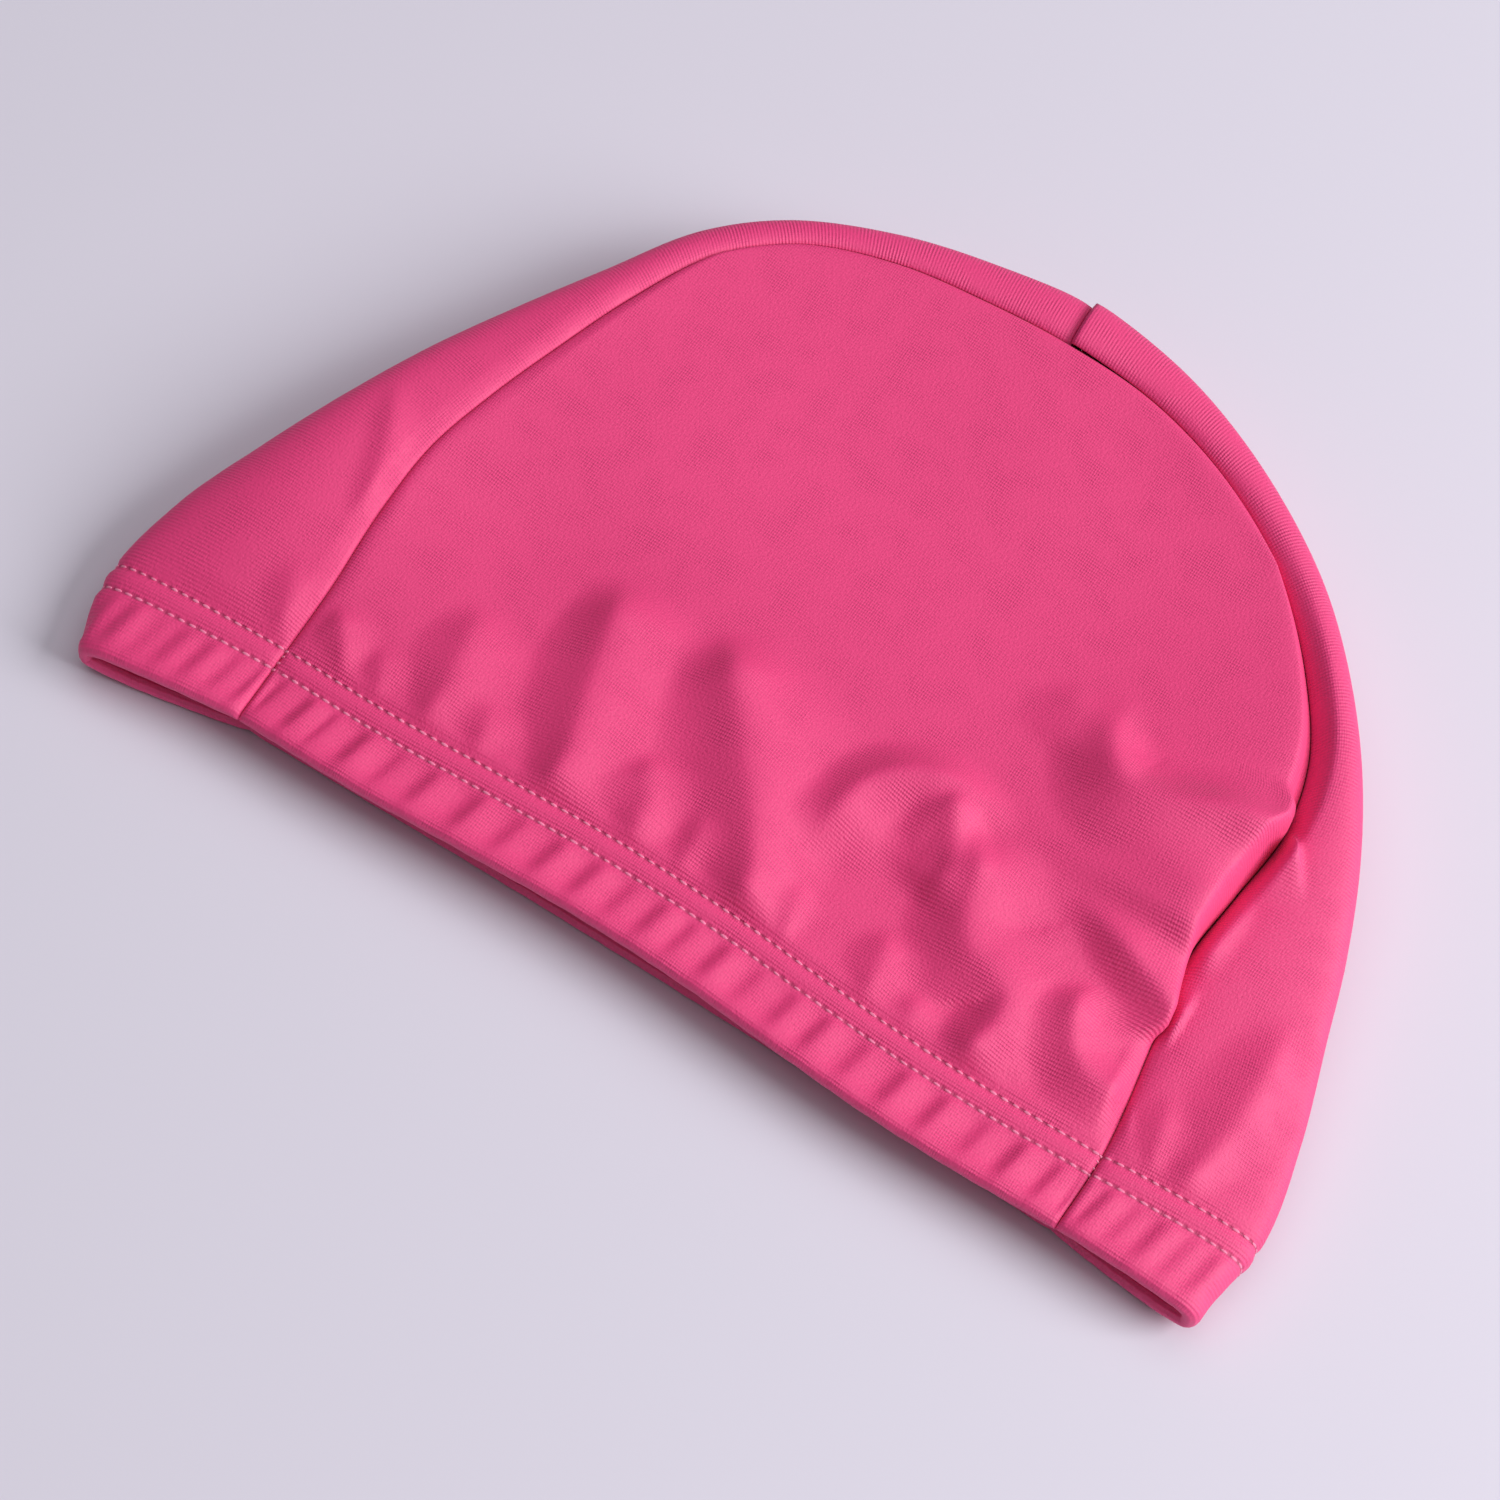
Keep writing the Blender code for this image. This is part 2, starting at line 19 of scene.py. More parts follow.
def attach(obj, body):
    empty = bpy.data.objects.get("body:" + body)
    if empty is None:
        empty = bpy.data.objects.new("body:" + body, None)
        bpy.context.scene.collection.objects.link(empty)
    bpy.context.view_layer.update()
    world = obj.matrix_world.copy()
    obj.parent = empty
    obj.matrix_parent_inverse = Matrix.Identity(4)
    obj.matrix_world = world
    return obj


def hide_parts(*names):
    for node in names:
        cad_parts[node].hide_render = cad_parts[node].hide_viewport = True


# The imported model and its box, before the cloth takes its solids' places
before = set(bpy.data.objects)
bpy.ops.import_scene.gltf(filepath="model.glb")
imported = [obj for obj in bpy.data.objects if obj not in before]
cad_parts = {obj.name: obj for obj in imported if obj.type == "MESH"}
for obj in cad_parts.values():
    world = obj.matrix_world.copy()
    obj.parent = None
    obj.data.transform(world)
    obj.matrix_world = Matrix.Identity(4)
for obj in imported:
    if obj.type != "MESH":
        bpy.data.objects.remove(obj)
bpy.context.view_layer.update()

# Sizes of the whole cap as it lies, in metres, and the middle of its box in the pattern
CAP_WIDTH = 0.232
CAP_HEIGHT = 0.1615
CAP_LOFT = 0.027
BOX_MIDDLE = (0.11636, 0.07948, 0.0)

# The cloth and the seams that join it
CLOTH = 0.0012
SEAM_GAP = 0.00004
SEAM_DIP = 0.0005
CASING_SEAM_DIP = 0.0005
SEAM_ROUNDING = 0.0022
SEAM_GROOVE = 0.0007
GROOVE_REACH = 0.0006

# The casing: the elastic's channel, the two stitch rows, the hem's turning and how the hems run
CHANNEL = 0.0008
CASING = 2 * CLOTH + CHANNEL
LOWER_STITCHES = 0.0112
UPPER_STITCHES = 0.0152
TURNING = 0.0162
STITCH_DIP = 0.00055
STITCH_DIP_WIDTH = 0.0009
HEM_TUCK = 0.0030
HEM_TUCK_REACH = 0.030
LOWER_HEM_BOW = 0.0012

# The casing's gathers: how deep the cloth lies between their crests, how their steep and easy flanks
# run and round off, how much they lean, the height at which they stand in their places, and where
# they swell above the hem's edge and end under the stitches
GATHER_DEPTH = 0.00100
GATHER_STEEP = 0.0013
GATHER_EASY = 0.0034
GATHER_ROUNDING = 0.2
GATHER_FALL = 1.3
GATHER_LEAN = 0.20
GATHER_MIDDLE = 0.005
GATHER_TO_SEAM = 0.002
GATHER_BEYOND = 0.006
SWELL_START = 0.001
SWELL_RISE = 0.004
SWELL_END = LOWER_STITCHES + 0.0004
SWELL_FALL = 0.0026
EDGE_SWELL = 0.22

# How the cloth stands between its seams
PANEL_SAG = 0.0040
FOLD_RISE = 0.0048
OVERHANG = 0.0047
OVERHANG_REACH = 0.0045
FOLD_TO_SEAM = 0.004
BACK_PROUD = 0.0013
PROUD_REACH = 0.008

# Mesh steps, in metres along the cloth and as counts. END_CROWDING draws the mesh lines closer
# together at the seams.
PANEL_COLUMNS = 220
LOWER_COLUMNS = 110
PANEL_ROWS = 150
LOWER_ROWS = 75
BAND_COLUMNS = 72
BAND_STEP = 0.0009
CASING_ROWS = 18
ROLL_ROWS = 8
INNER_ROWS = 8
INNER_START = 0.0015
END_CROWDING = 0.6
PATH_STEP = 0.0015
SEARCH_STEPS = 800
CURVE_PARTS = 6

# Shapes of the blends, as plain powers and shares
TOP_BLEND = 1.7
SAG_FULLNESS = 0.75
ROUND_HANDLE = 0.5523
FULL_HANDLE = 0.84

# Stations along the band, from the left end of the hem over the crown to the right end. x, y and z
# are shares of CAP_WIDTH, CAP_HEIGHT and CAP_LOFT. seam is the upper seam, edge the fold at the
# cap's outline, under the lower seam's distance from that fold and lift the panel's height over
# its seam, as shares of CAP_WIDTH and CAP_LOFT.
Station = namedtuple("Station", "name seam_x seam_y seam_z edge_x edge_y edge_z under lift")
STATIONS = (
    Station("left hem", 0.157, 0.007, 0.416, 0.019, -0.016, 0.204, 0.140, 0.014),
    Station("left casing", 0.155, 0.086, 0.430, 0.000, 0.076, 0.206, 0.150, 0.014),
    Station("left low", 0.156, 0.179, 0.560, 0.009, 0.183, 0.275, 0.138, 0.014),
    Station("left middle", 0.151, 0.291, 0.650, 0.036, 0.300, 0.310, 0.118, 0.014),
    Station("left high", 0.152, 0.388, 0.710, 0.066, 0.412, 0.335, 0.102, 0.014),
    Station("left upper", 0.165, 0.482, 0.740, 0.094, 0.511, 0.352, 0.088, 0.014),
    Station("left bend", 0.184, 0.581, 0.760, 0.127, 0.606, 0.370, 0.076, 0.014),
    Station("left rise", 0.206, 0.681, 0.780, 0.166, 0.707, 0.381, 0.068, 0.014),
    Station("left shoulder", 0.239, 0.786, 0.795, 0.212, 0.823, 0.393, 0.064, 0.014),
    Station("left turn", 0.287, 0.856, 0.810, 0.266, 0.895, 0.400, 0.062, 0.014),
    Station("left crown", 0.360, 0.899, 0.815, 0.348, 0.953, 0.407, 0.062, 0.014),
    Station("near crown", 0.444, 0.915, 0.815, 0.438, 0.986, 0.407, 0.062, 0.014),
    Station("crown", 0.518, 0.918, 0.815, 0.515, 0.999, 0.407, 0.062, 0.014),
    Station("past crown", 0.597, 0.907, 0.800, 0.601, 0.980, 0.407, 0.062, 0.014),
    Station("right crown", 0.671, 0.871, 0.770, 0.681, 0.931, 0.407, 0.062, 0.04),
    Station("right shoulder", 0.754, 0.793, 0.720, 0.778, 0.835, 0.400, 0.064, 0.05),
    Station("right rise", 0.815, 0.697, 0.660, 0.842, 0.735, 0.389, 0.068, 0.07),
    Station("right bend", 0.853, 0.600, 0.610, 0.893, 0.625, 0.370, 0.078, 0.10),
    Station("right tip", 0.864, 0.513, 0.560, 0.926, 0.530, 0.360, 0.092, 0.16),
    Station("right middle", 0.857, 0.420, 0.500, 0.952, 0.428, 0.350, 0.108, 0.24),
    Station("right fold", 0.850, 0.325, 0.470, 0.970, 0.332, 0.333, 0.122, 0.24),
    Station("right low", 0.862, 0.216, 0.450, 0.991, 0.218, 0.296, 0.132, 0.08),
    Station("right casing", 0.873, 0.073, 0.416, 1.003, 0.080, 0.212, 0.134, 0.014),
    Station("right hem", 0.871, -0.013, 0.411, 0.991, -0.019, 0.204, 0.124, 0.014),
)

# The upper hem between the two seams: along runs from 0 at the left seam to 1 at the right one, and
# y and z are shares of CAP_HEIGHT and CAP_LOFT
Hem = namedtuple("Hem", "along y z")
UPPER_HEM = (
    Hem(0.00, 0.007, 0.416),
    Hem(0.13, 0.003, 0.434),
    Hem(0.28, 0.007, 0.444),
    Hem(0.42, 0.010, 0.446),
    Hem(0.55, 0.005, 0.442),
    Hem(0.68, -0.006, 0.430),
    Hem(0.80, -0.014, 0.420),
    Hem(0.90, -0.015, 0.413),
    Hem(1.00, -0.013, 0.411),
)

# Folds of the upper cloth. way is the line of the crest, from its foot to its tip, as shares of
# CAP_WIDTH and CAP_HEIGHT. rise is its height, steep how far its flank on the left of that way runs
# down and easy the same on the right, in metres. root and fade are the shares of its length over
# which it grows and dies away: a root of 0 is a fold that starts with FOOT_HEIGHT and FOOT_WIDTH of
# its height and width.
Crest = namedtuple("Crest", "name way rise steep easy root fade")
CRESTS = (
    Crest(
        "seam gather",
        ((0.201, 0.108), (0.191, 0.133), (0.168, 0.173)),
        0.0013, 0.0050, 0.0060, 0.0, 0.4,
    ),
    Crest(
        "first gather",
        ((0.232, 0.108), (0.228, 0.129), (0.213, 0.158)),
        0.0007, 0.0040, 0.0050, 0.0, 0.5,
    ),
    Crest(
        "tall gather",
        ((0.275, 0.108), (0.276, 0.148), (0.270, 0.200), (0.259, 0.263)),
        0.0017, 0.0080, 0.0110, 0.0, 0.35,
    ),
    Crest(
        "small gather",
        ((0.321, 0.109), (0.318, 0.135), (0.306, 0.170)),
        0.0009, 0.0050, 0.0060, 0.0, 0.5,
    ),
    Crest(
        "left pleat",
        (
            (0.383, 0.108), (0.382, 0.158), (0.372, 0.213), (0.361, 0.272),
            (0.352, 0.317), (0.337, 0.381),
        ),
        0.0033, 0.0105, 0.0200, 0.0, 0.25,
    ),
    Crest(
        "leaf",
        ((0.457, 0.109), (0.453, 0.145), (0.446, 0.174), (0.428, 0.210)),
        0.0018, 0.0080, 0.0080, 0.0, 0.3,
    ),
    Crest(
        "notch",
        ((0.499, 0.109), (0.497, 0.146), (0.488, 0.186)),
        0.0009, 0.0040, 0.0050, 0.0, 0.5,
    ),
    Crest(
        "long pleat",
        (
            (0.552, 0.108), (0.547, 0.146), (0.535, 0.179), (0.520, 0.213),
            (0.501, 0.248), (0.478, 0.287), (0.455, 0.326), (0.426, 0.386),
        ),
        0.0044, 0.0140, 0.0190, 0.0, 0.22,
    ),
    Crest(
        "slit",
        ((0.591, 0.110), (0.587, 0.142), (0.583, 0.179)),
        0.0008, 0.0035, 0.0045, 0.0, 0.5,
    ),
    Crest(
        "dome",
        (
            (0.572, 0.200), (0.575, 0.261), (0.582, 0.302), (0.599, 0.331),
            (0.629, 0.350), (0.662, 0.350), (0.698, 0.337),
        ),
        0.0033, 0.0065, 0.0130, 0.25, 0.4,
    ),
    Crest(
        "dome shoulder",
        ((0.662, 0.215), (0.666, 0.251), (0.658, 0.296), (0.639, 0.346)),
        0.0027, 0.0100, 0.0070, 0.25, 0.2,
    ),
    Crest(
        "deep pleat",
        (
            (0.751, 0.076), (0.753, 0.109), (0.759, 0.148), (0.754, 0.174),
            (0.736, 0.187), (0.715, 0.199), (0.702, 0.219), (0.696, 0.249),
            (0.689, 0.276), (0.669, 0.323),
        ),
        0.0038, 0.0100, 0.0160, 0.0, 0.2,
    ),
    Crest(
        "right leaf",
        ((0.665, 0.092), (0.663, 0.132), (0.653, 0.182)),
        0.0013, 0.0060, 0.0070, 0.0, 0.4,
    ),
    Crest(
        "right gather",
        ((0.703, 0.082), (0.702, 0.108), (0.697, 0.140)),
        0.0007, 0.0040, 0.0050, 0.0, 0.5,
    ),
    Crest(
        "low drag",
        ((0.873, 0.154), (0.848, 0.140), (0.823, 0.151), (0.807, 0.181), (0.796, 0.247)),
        0.0030, 0.0070, 0.0090, 0.05, 0.3,
    ),
    Crest(
        "right rim",
        ((0.852, 0.305), (0.854, 0.349), (0.856, 0.399), (0.859, 0.451)),
        0.0028, 0.0340, 0.0050, 0.25, 0.5,
    ),
    Crest(
        "tuck",
        ((0.873, 0.250), (0.849, 0.251), (0.824, 0.265), (0.794, 0.288), (0.753, 0.310)),
        0.0026, 0.0050, 0.0070, 0.02, 0.45,
    ),
    Crest(
        "upper arc",
        (
            (0.874, 0.508), (0.847, 0.483), (0.822, 0.475), (0.797, 0.460),
            (0.773, 0.449), (0.747, 0.447), (0.726, 0.470), (0.714, 0.512),
            (0.716, 0.567),
        ),
        0.0044, 0.0110, 0.0090, 0.02, 0.38,
    ),
    Crest(
        "upper streak",
        ((0.678, 0.443), (0.681, 0.486), (0.673, 0.552)),
        0.0010, 0.0080, 0.0080, 0.3, 0.4,
    ),
    Crest(
        "left band fold",
        ((0.153, 0.261), (0.141, 0.296), (0.122, 0.371), (0.095, 0.444)),
        0.0009, 0.0040, 0.0060, 0.15, 0.4,
    ),
    Crest(
        "left band drag",
        ((0.147, 0.106), (0.138, 0.140), (0.120, 0.199)),
        0.0008, 0.0050, 0.0060, 0.0, 0.5,
    ),
    Crest(
        "right band fold",
        ((0.932, 0.086), (0.942, 0.153), (0.945, 0.240), (0.939, 0.331)),
        0.0019, 0.0090, 0.0070, 0.0, 0.35,
    ),
    Crest(
        "right band drag",
        ((0.907, 0.093), (0.901, 0.132), (0.892, 0.182)),
        0.0008, 0.0040, 0.0050, 0.0, 0.5,
    ),
)
# The folds' section: how round a crest is, how far its flanks then run in their own lengths, how
# they land, and how much narrower and lower a fold is over a share of its way at its foot and tip
CREST_ROUNDING = 0.22
CREST_REACH = math.sqrt(1.0 + 2.0 * CREST_ROUNDING)
STEEP_LANDING = 1.6
EASY_LANDING = 1.8
FOOT_WIDTH = 0.5
FOOT_SHARE = 0.45
TIP_WIDTH = 0.55
TIP_SHARE = 0.45
FOOT_HEIGHT = 0.75

# Soft hills and hollows of the upper cloth: middle and half sizes as shares of CAP_WIDTH and
# CAP_HEIGHT, and the rise in metres
Hill = namedtuple("Hill", "name x y half_width half_height rise")
HILLS = (
    Hill("left shoulder", 0.295, 0.604, 0.129, 0.161, 0.0010),
    Hill("left hollow", 0.282, 0.353, 0.095, 0.080, -0.0018),
    Hill("left rim", 0.079, 0.327, 0.060, 0.211, 0.0020),
    Hill("right shoulder", 0.874, 0.566, 0.147, 0.211, 0.0030),
    Hill("right crown", 0.578, 0.749, 0.129, 0.099, 0.0008),
    Hill("middle", 0.334, 0.335, 0.086, 0.056, 0.0008),
)

# Steep flanks of the upper casing's gathers along the hem, as shares of CAP_WIDTH, places of the
# other casings' gathers in metres, and the sizes that gathers take in turn
GATHERS = (
    0.164, 0.190, 0.211, 0.241, 0.271, 0.301, 0.340, 0.375, 0.409, 0.442, 0.472, 0.500,
    0.526, 0.556, 0.586, 0.618, 0.647, 0.681, 0.716, 0.750, 0.785, 0.815, 0.845,
)
LOWER_GATHERS = np.arange(-0.01, CAP_WIDTH, 0.0072)
BAND_GATHERS = np.arange(-0.1, 0.1, 0.0052)
GATHER_SIZES = np.array([1.0, 0.6, 1.1, 0.8, 1.15, 0.5, 0.9, 1.1, 0.7, 1.05] * 8)

# How much of OVERHANG the panel hangs over its right seam, at shares of CAP_HEIGHT
Overhang = namedtuple("Overhang", "y share")
OVERHANGS = (
    Overhang(0.215, 0.00),
    Overhang(0.238, 0.90),
    Overhang(0.262, 1.00),
    Overhang(0.300, 0.80),
    Overhang(0.350, 0.40),
    Overhang(0.410, 0.14),
    Overhang(0.480, 0.20),
    Overhang(0.512, 0.52),
    Overhang(0.532, 0.46),
    Overhang(0.550, 0.00),
)

# The valley that the band makes beside the upper seam: its depth and reach in metres at stations
Valley = namedtuple("Valley", "station depth reach")
VALLEYS = (
    Valley("left hem", 0.0003, 0.0016),
    Valley("left middle", 0.0002, 0.0020),
    Valley("left shoulder", 0.0005, 0.0024),
    Valley("crown", 0.0011, 0.0026),
    Valley("right crown", 0.0018, 0.0028),
    Valley("right rise", 0.0026, 0.0026),
    Valley("right tip", 0.0022, 0.0040),
    Valley("right fold", 0.0024, 0.0030),
    Valley("right low", 0.0012, 0.0026),
    Valley("right hem", 0.0007, 0.0018),
)
CROSS_SEAM = "crown"
LEFT_CORNER = "left shoulder"
RIGHT_CORNER = "right shoulder"

# Stitches: short lengths of thread, half sunk in the cloth, the smallest and the largest as shares
# of that size, and the heights of the bars that tack each seam
STITCH_PITCH = 0.0022
STITCH_LENGTH = 0.0014
STITCH_WIDTH = 0.00056
STITCH_HEIGHT = 0.00045
STITCH_HOLE = 0.00034
SMALL_STITCH = (0.84, 0.88, 0.85)
LARGE_STITCH = (1.10, 1.10, 1.10)
TACK_HEIGHTS = (0.0112, 0.0127, 0.0141, 0.0152)
THREAD_SEED = 7

# The fields of a piece's flat cut, in metres and square metres: width along the hem, length from the
# raw edge of the turning to the crown, area and the pieces it rests on. No cut is listed for any piece
# here, and nothing reads these fields. Both side panels are cut from one pattern.
Cut = namedtuple("Cut", "width length area rests_on")

# The knit: how far its rows wander, in radians, how much its wales and its fuzz stand beside its ribs,
# the weave's usual range, its height, the painted shade and highlight it puts into the colour (darker
# in the ribs' grooves, lighter on their tops, with the fuzz's random tone in the same mix), and the
# needle holes' painted shade
RIB_PITCH = 0.00062
WALE_PITCH = 0.00046
ROW_WANDER = 2.2
WALE_SHARE = 0.35
FUZZ_SHARE = 2.4
WEAVE_RANGE = 1.6
WEAVE_HEIGHT = 0.00006
HOLE_DEPTH = 4.0
RIB_SHADE_AND_FUZZ = 0.84
RIB_HIGHLIGHT_AND_FUZZ = 1.14
# Painted shade in the needle holes: how dark it is and how strongly it shows
NEEDLE_HOLE_SHADE = 0.5
NEEDLE_HOLE_SHADE_SHOWS = 0.85

PINKS = {
    "side_panel_upper": (0.80, 0.023, 0.185),
    "side_panel_lower": (0.78, 0.021, 0.177),
    "band_front": (0.81, 0.024, 0.189),
    "band_back": (0.80, 0.023, 0.185),
}
THREAD_PINK = (0.92, 0.22, 0.40)
THREAD_DARK = 0.75
THREAD_LIGHT = 1.15
FLOOR_PALE = (0.70, 0.66, 0.76)
WORLD_LIGHT = 0.16

# Lights: the way from the cap to each, its distance and its side in metres, its watts, and whether
# the cloth shines in it
Lamp = namedtuple("Lamp", "name way distance side watts shines")
LAMPS = (
    Lamp("window light", (1.0, 0.20, 0.70), 1.6, 1.0, 28.0, True),
    Lamp("ceiling light", (-0.05, 0.12, 1.0), 1.8, 2.4, 15.0, False),
)

# The camera: its place in the pattern, its ways to the right, up and back, and its lens and picture
# in millimetres
CAMERA_PLACE = (0.2289, -0.2708, 0.5923)
CAMERA_RIGHT = (0.8509, 0.5135, 0.1109)
CAMERA_UP = (-0.4964, 0.7169, 0.4896)
CAMERA_BACK = (0.1719, -0.4716, 0.8649)
CAMERA_LENS = 92.07
CAMERA_PICTURE = 36.0


def smooth(value):
    """From 0 to 1 without a corner, and flat outside that range."""
    value = np.clip(value, 0.0, 1.0)
    return value * value * (3.0 - 2.0 * value)


def mix(first, last, share):
    """The value at a share of the way from the first to the last."""
    return first + (last - first) * share


class Curve:
    """A smooth curve through points, from share 0 at the first to 1 at the last."""

    def __init__(self, points, knots=None):
        self.points = np.array(points, float)
        if knots is None:
            steps = np.linalg.norm(np.diff(self.points[:, :2], axis=0), axis=1)
            knots = np.concatenate([[0.0], np.cumsum(steps)]) / steps.sum()
        self.knots = np.array(knots, float)
        self.slopes = np.gradient(self.points, self.knots, axis=0)

    def at(self, share):
        share = np.clip(np.asarray(share, float), 0.0, 1.0)
        i = np.clip(np.searchsorted(self.knots, share, side="right") - 1, 0, len(self.knots) - 2)
        step = (self.knots[i + 1] - self.knots[i])[..., None]
        t = (share - self.knots[i])[..., None] / step
        start, end = self.points[i], self.points[i + 1]
        leave, arrive = self.slopes[i] * step, self.slopes[i + 1] * step
        return (
            start * (2 * t**3 - 3 * t**2 + 1)
            + leave * (t**3 - 2 * t**2 + t)
            + end * (3 * t**2 - 2 * t**3)
            + arrive * (t**3 - t**2)
        )


def station_curve():
    """The stations in metres: upper seam, outline fold, the lower seam's inset, the panel's lift."""
    size = np.array([CAP_WIDTH, CAP_HEIGHT, CAP_LOFT])
    rows = []
    for s in STATIONS:
        seam = np.array([s.seam_x, s.seam_y, s.seam_z]) * size
        edge = np.array([s.edge_x, s.edge_y, s.edge_z]) * size
        rows.append([*seam, *edge, s.under * CAP_WIDTH, s.lift * CAP_LOFT])
    return Curve(rows)


ALONG = station_curve()
SEAM_LENGTH = float(np.linalg.norm(np.diff(ALONG.points[:, :2], axis=0), axis=1).sum())
UPPER_HEM_LINE = Curve(
    [[h.y * CAP_HEIGHT, h.z * CAP_LOFT] for h in UPPER_HEM], [h.along for h in UPPER_HEM]
)


def share_of(name):
    """The share along the band at which a station stands."""
    return ALONG.knots[[s.name for s in STATIONS].index(name)]


CORNERS = share_of(LEFT_CORNER), share_of(RIGHT_CORNER)


def sections(share):
    """Upper seam, outline fold, lower seam, outward way and panel lift at shares along the band."""
    row = ALONG.at(share)
    seam, edge = row[:, 0:3], row[:, 3:6]
    flat = (edge - seam) * [1.0, 1.0, 0.0]
    outward = flat / np.linalg.norm(flat, axis=1, keepdims=True)
    lower = edge - outward * row[:, 6:7]
    from_hem = np.minimum(share, 1.0 - share) * SEAM_LENGTH
    lower[:, 1] += HEM_TUCK * np.exp(-from_hem / HEM_TUCK_REACH)
    lower[:, 2] = 0.0
    return seam, edge, lower, outward, row[:, 7]


def shares_at_heights(heights, corner, hem_end):
    """The shares along the band where the upper seam stands this high above its end of the hem."""
    shares = np.linspace(hem_end, corner, SEARCH_STEPS)
    rise = ALONG.at(shares)[:, 1]
    return np.interp(heights, rise - rise[0], shares)


def hem_height(x):
    """Y of the upper hem's edge below a place at x."""
    left, right = STATIONS[0].seam_x * CAP_WIDTH, STATIONS[-1].seam_x * CAP_WIDTH
    return UPPER_HEM_LINE.at((x - left) / (right - left))[..., 0]


def crest_path(crest):
    """Points along a crest's line, about 1.5 mm apart."""
    line = Curve(np.array(crest.way) * [CAP_WIDTH, CAP_HEIGHT])
    length = np.linalg.norm(np.diff(line.points, axis=0), axis=1).sum()
    return line.at(np.linspace(0.0, 1.0, max(4, int(length / PATH_STEP))))


def nearest_on_path(points, path):
    """Share along the path, and signed distance with the path's right side positive."""
    best = np.full(len(points), np.inf)
    share, side = np.zeros(len(points)), np.zeros(len(points))
    for i, (start, end) in enumerate(zip(path, path[1:])):
        way = end - start
        t = np.clip(((points - start) @ way) / (way @ way), 0.0, 1.0)
        off = points - start - t[:, None] * way
        distance = np.linalg.norm(off, axis=1)
        nearer = distance < best
        best[nearer] = distance[nearer]
        share[nearer] = (i + t[nearer]) / (len(path) - 1)
        right = way[1] * off[:, 0] - way[0] * off[:, 1]
        side[nearer] = np.copysign(distance, right)[nearer]
    return share, side


def crest_profile(side, steep, easy):
    """A fold's height, 0 to 1, at a signed distance from its crest: a steep flank left of it."""
    away = np.abs(side) / np.where(side < 0.0, steep, easy)
    away = np.sqrt(away**2 + CREST_ROUNDING**2) - CREST_ROUNDING
    return np.clip(1.0 - away, 0.0, 1.0) ** np.where(side < 0.0, STEEP_LANDING, EASY_LANDING)


def relief(x, y):
    """How far the upper cloth's folds lift it at places of the plan."""
    points = np.stack([np.ravel(x), np.ravel(y)], axis=1)
    lift = np.zeros(len(points))
    for crest in CRESTS:
        path = crest_path(crest)
        reach = CREST_REACH * max(crest.steep, crest.easy)
        low, high = path.min(axis=0) - reach, path.max(axis=0) + reach
        near = np.flatnonzero(((points > low) & (points < high)).all(axis=1))
        share, side = nearest_on_path(points[near], path)
        grow = smooth(share / crest.root) if crest.root else 1.0
        height = crest.rise * grow * smooth((1.0 - share) / crest.fade)
        width = mix(TIP_WIDTH, 1.0, smooth((1.0 - share) / TIP_SHARE))
        if not crest.root:
            foot = smooth(share / FOOT_SHARE)
            width = width * mix(FOOT_WIDTH, 1.0, foot)
            height = height * mix(FOOT_HEIGHT, 1.0, foot)
        lift[near] += height * crest_profile(side, crest.steep * width, crest.easy * width)
    for hill in HILLS:
        off = points / [CAP_WIDTH, CAP_HEIGHT] - [hill.x, hill.y]
        off = off / [hill.half_width, hill.half_height]
        lift += hill.rise * np.exp(-(off**2).sum(axis=1))
    above = points[:, 1] - hem_height(points[:, 0]) - UPPER_STITCHES
    return (lift * smooth(above / FOLD_RISE)).reshape(np.shape(x))


def gather_crests(x, places):
    """The gathers' height, 0 to 1, at places along the hem: a steep flank left of each crest."""
    places = np.asarray(places)
    sizes = GATHER_SIZES[: len(places)]
    after = np.clip(np.searchsorted(places, x), 1, len(places) - 1)
    before = after - 1
    left = np.clip(places[after] - x, 0.0, None) / GATHER_STEEP
    right = np.clip(x - places[before], 0.0, None) / GATHER_EASY
    left = np.sqrt(left**2 + GATHER_ROUNDING**2) - GATHER_ROUNDING
    rising = sizes[after] * np.exp(-(left**GATHER_FALL))
    return np.maximum(rising, sizes[before] * np.exp(-(right**2)))


def casing_relief(crests, above):
    """Depth below the smooth casing where gathers stand so high, at a height above the hem."""
    start = smooth((above - SWELL_START) / SWELL_RISE)
    swell = start * smooth((SWELL_END - above) / SWELL_FALL) + EDGE_SWELL * (1.0 - start)
    depth = GATHER_DEPTH * swell * (1.0 - crests)
    for row in (LOWER_STITCHES, UPPER_STITCHES):
        depth = depth + STITCH_DIP * np.exp(-(((above - row) / STITCH_DIP_WIDTH) ** 2))
    return depth


Row = namedtuple("Row", "above height depth outer")


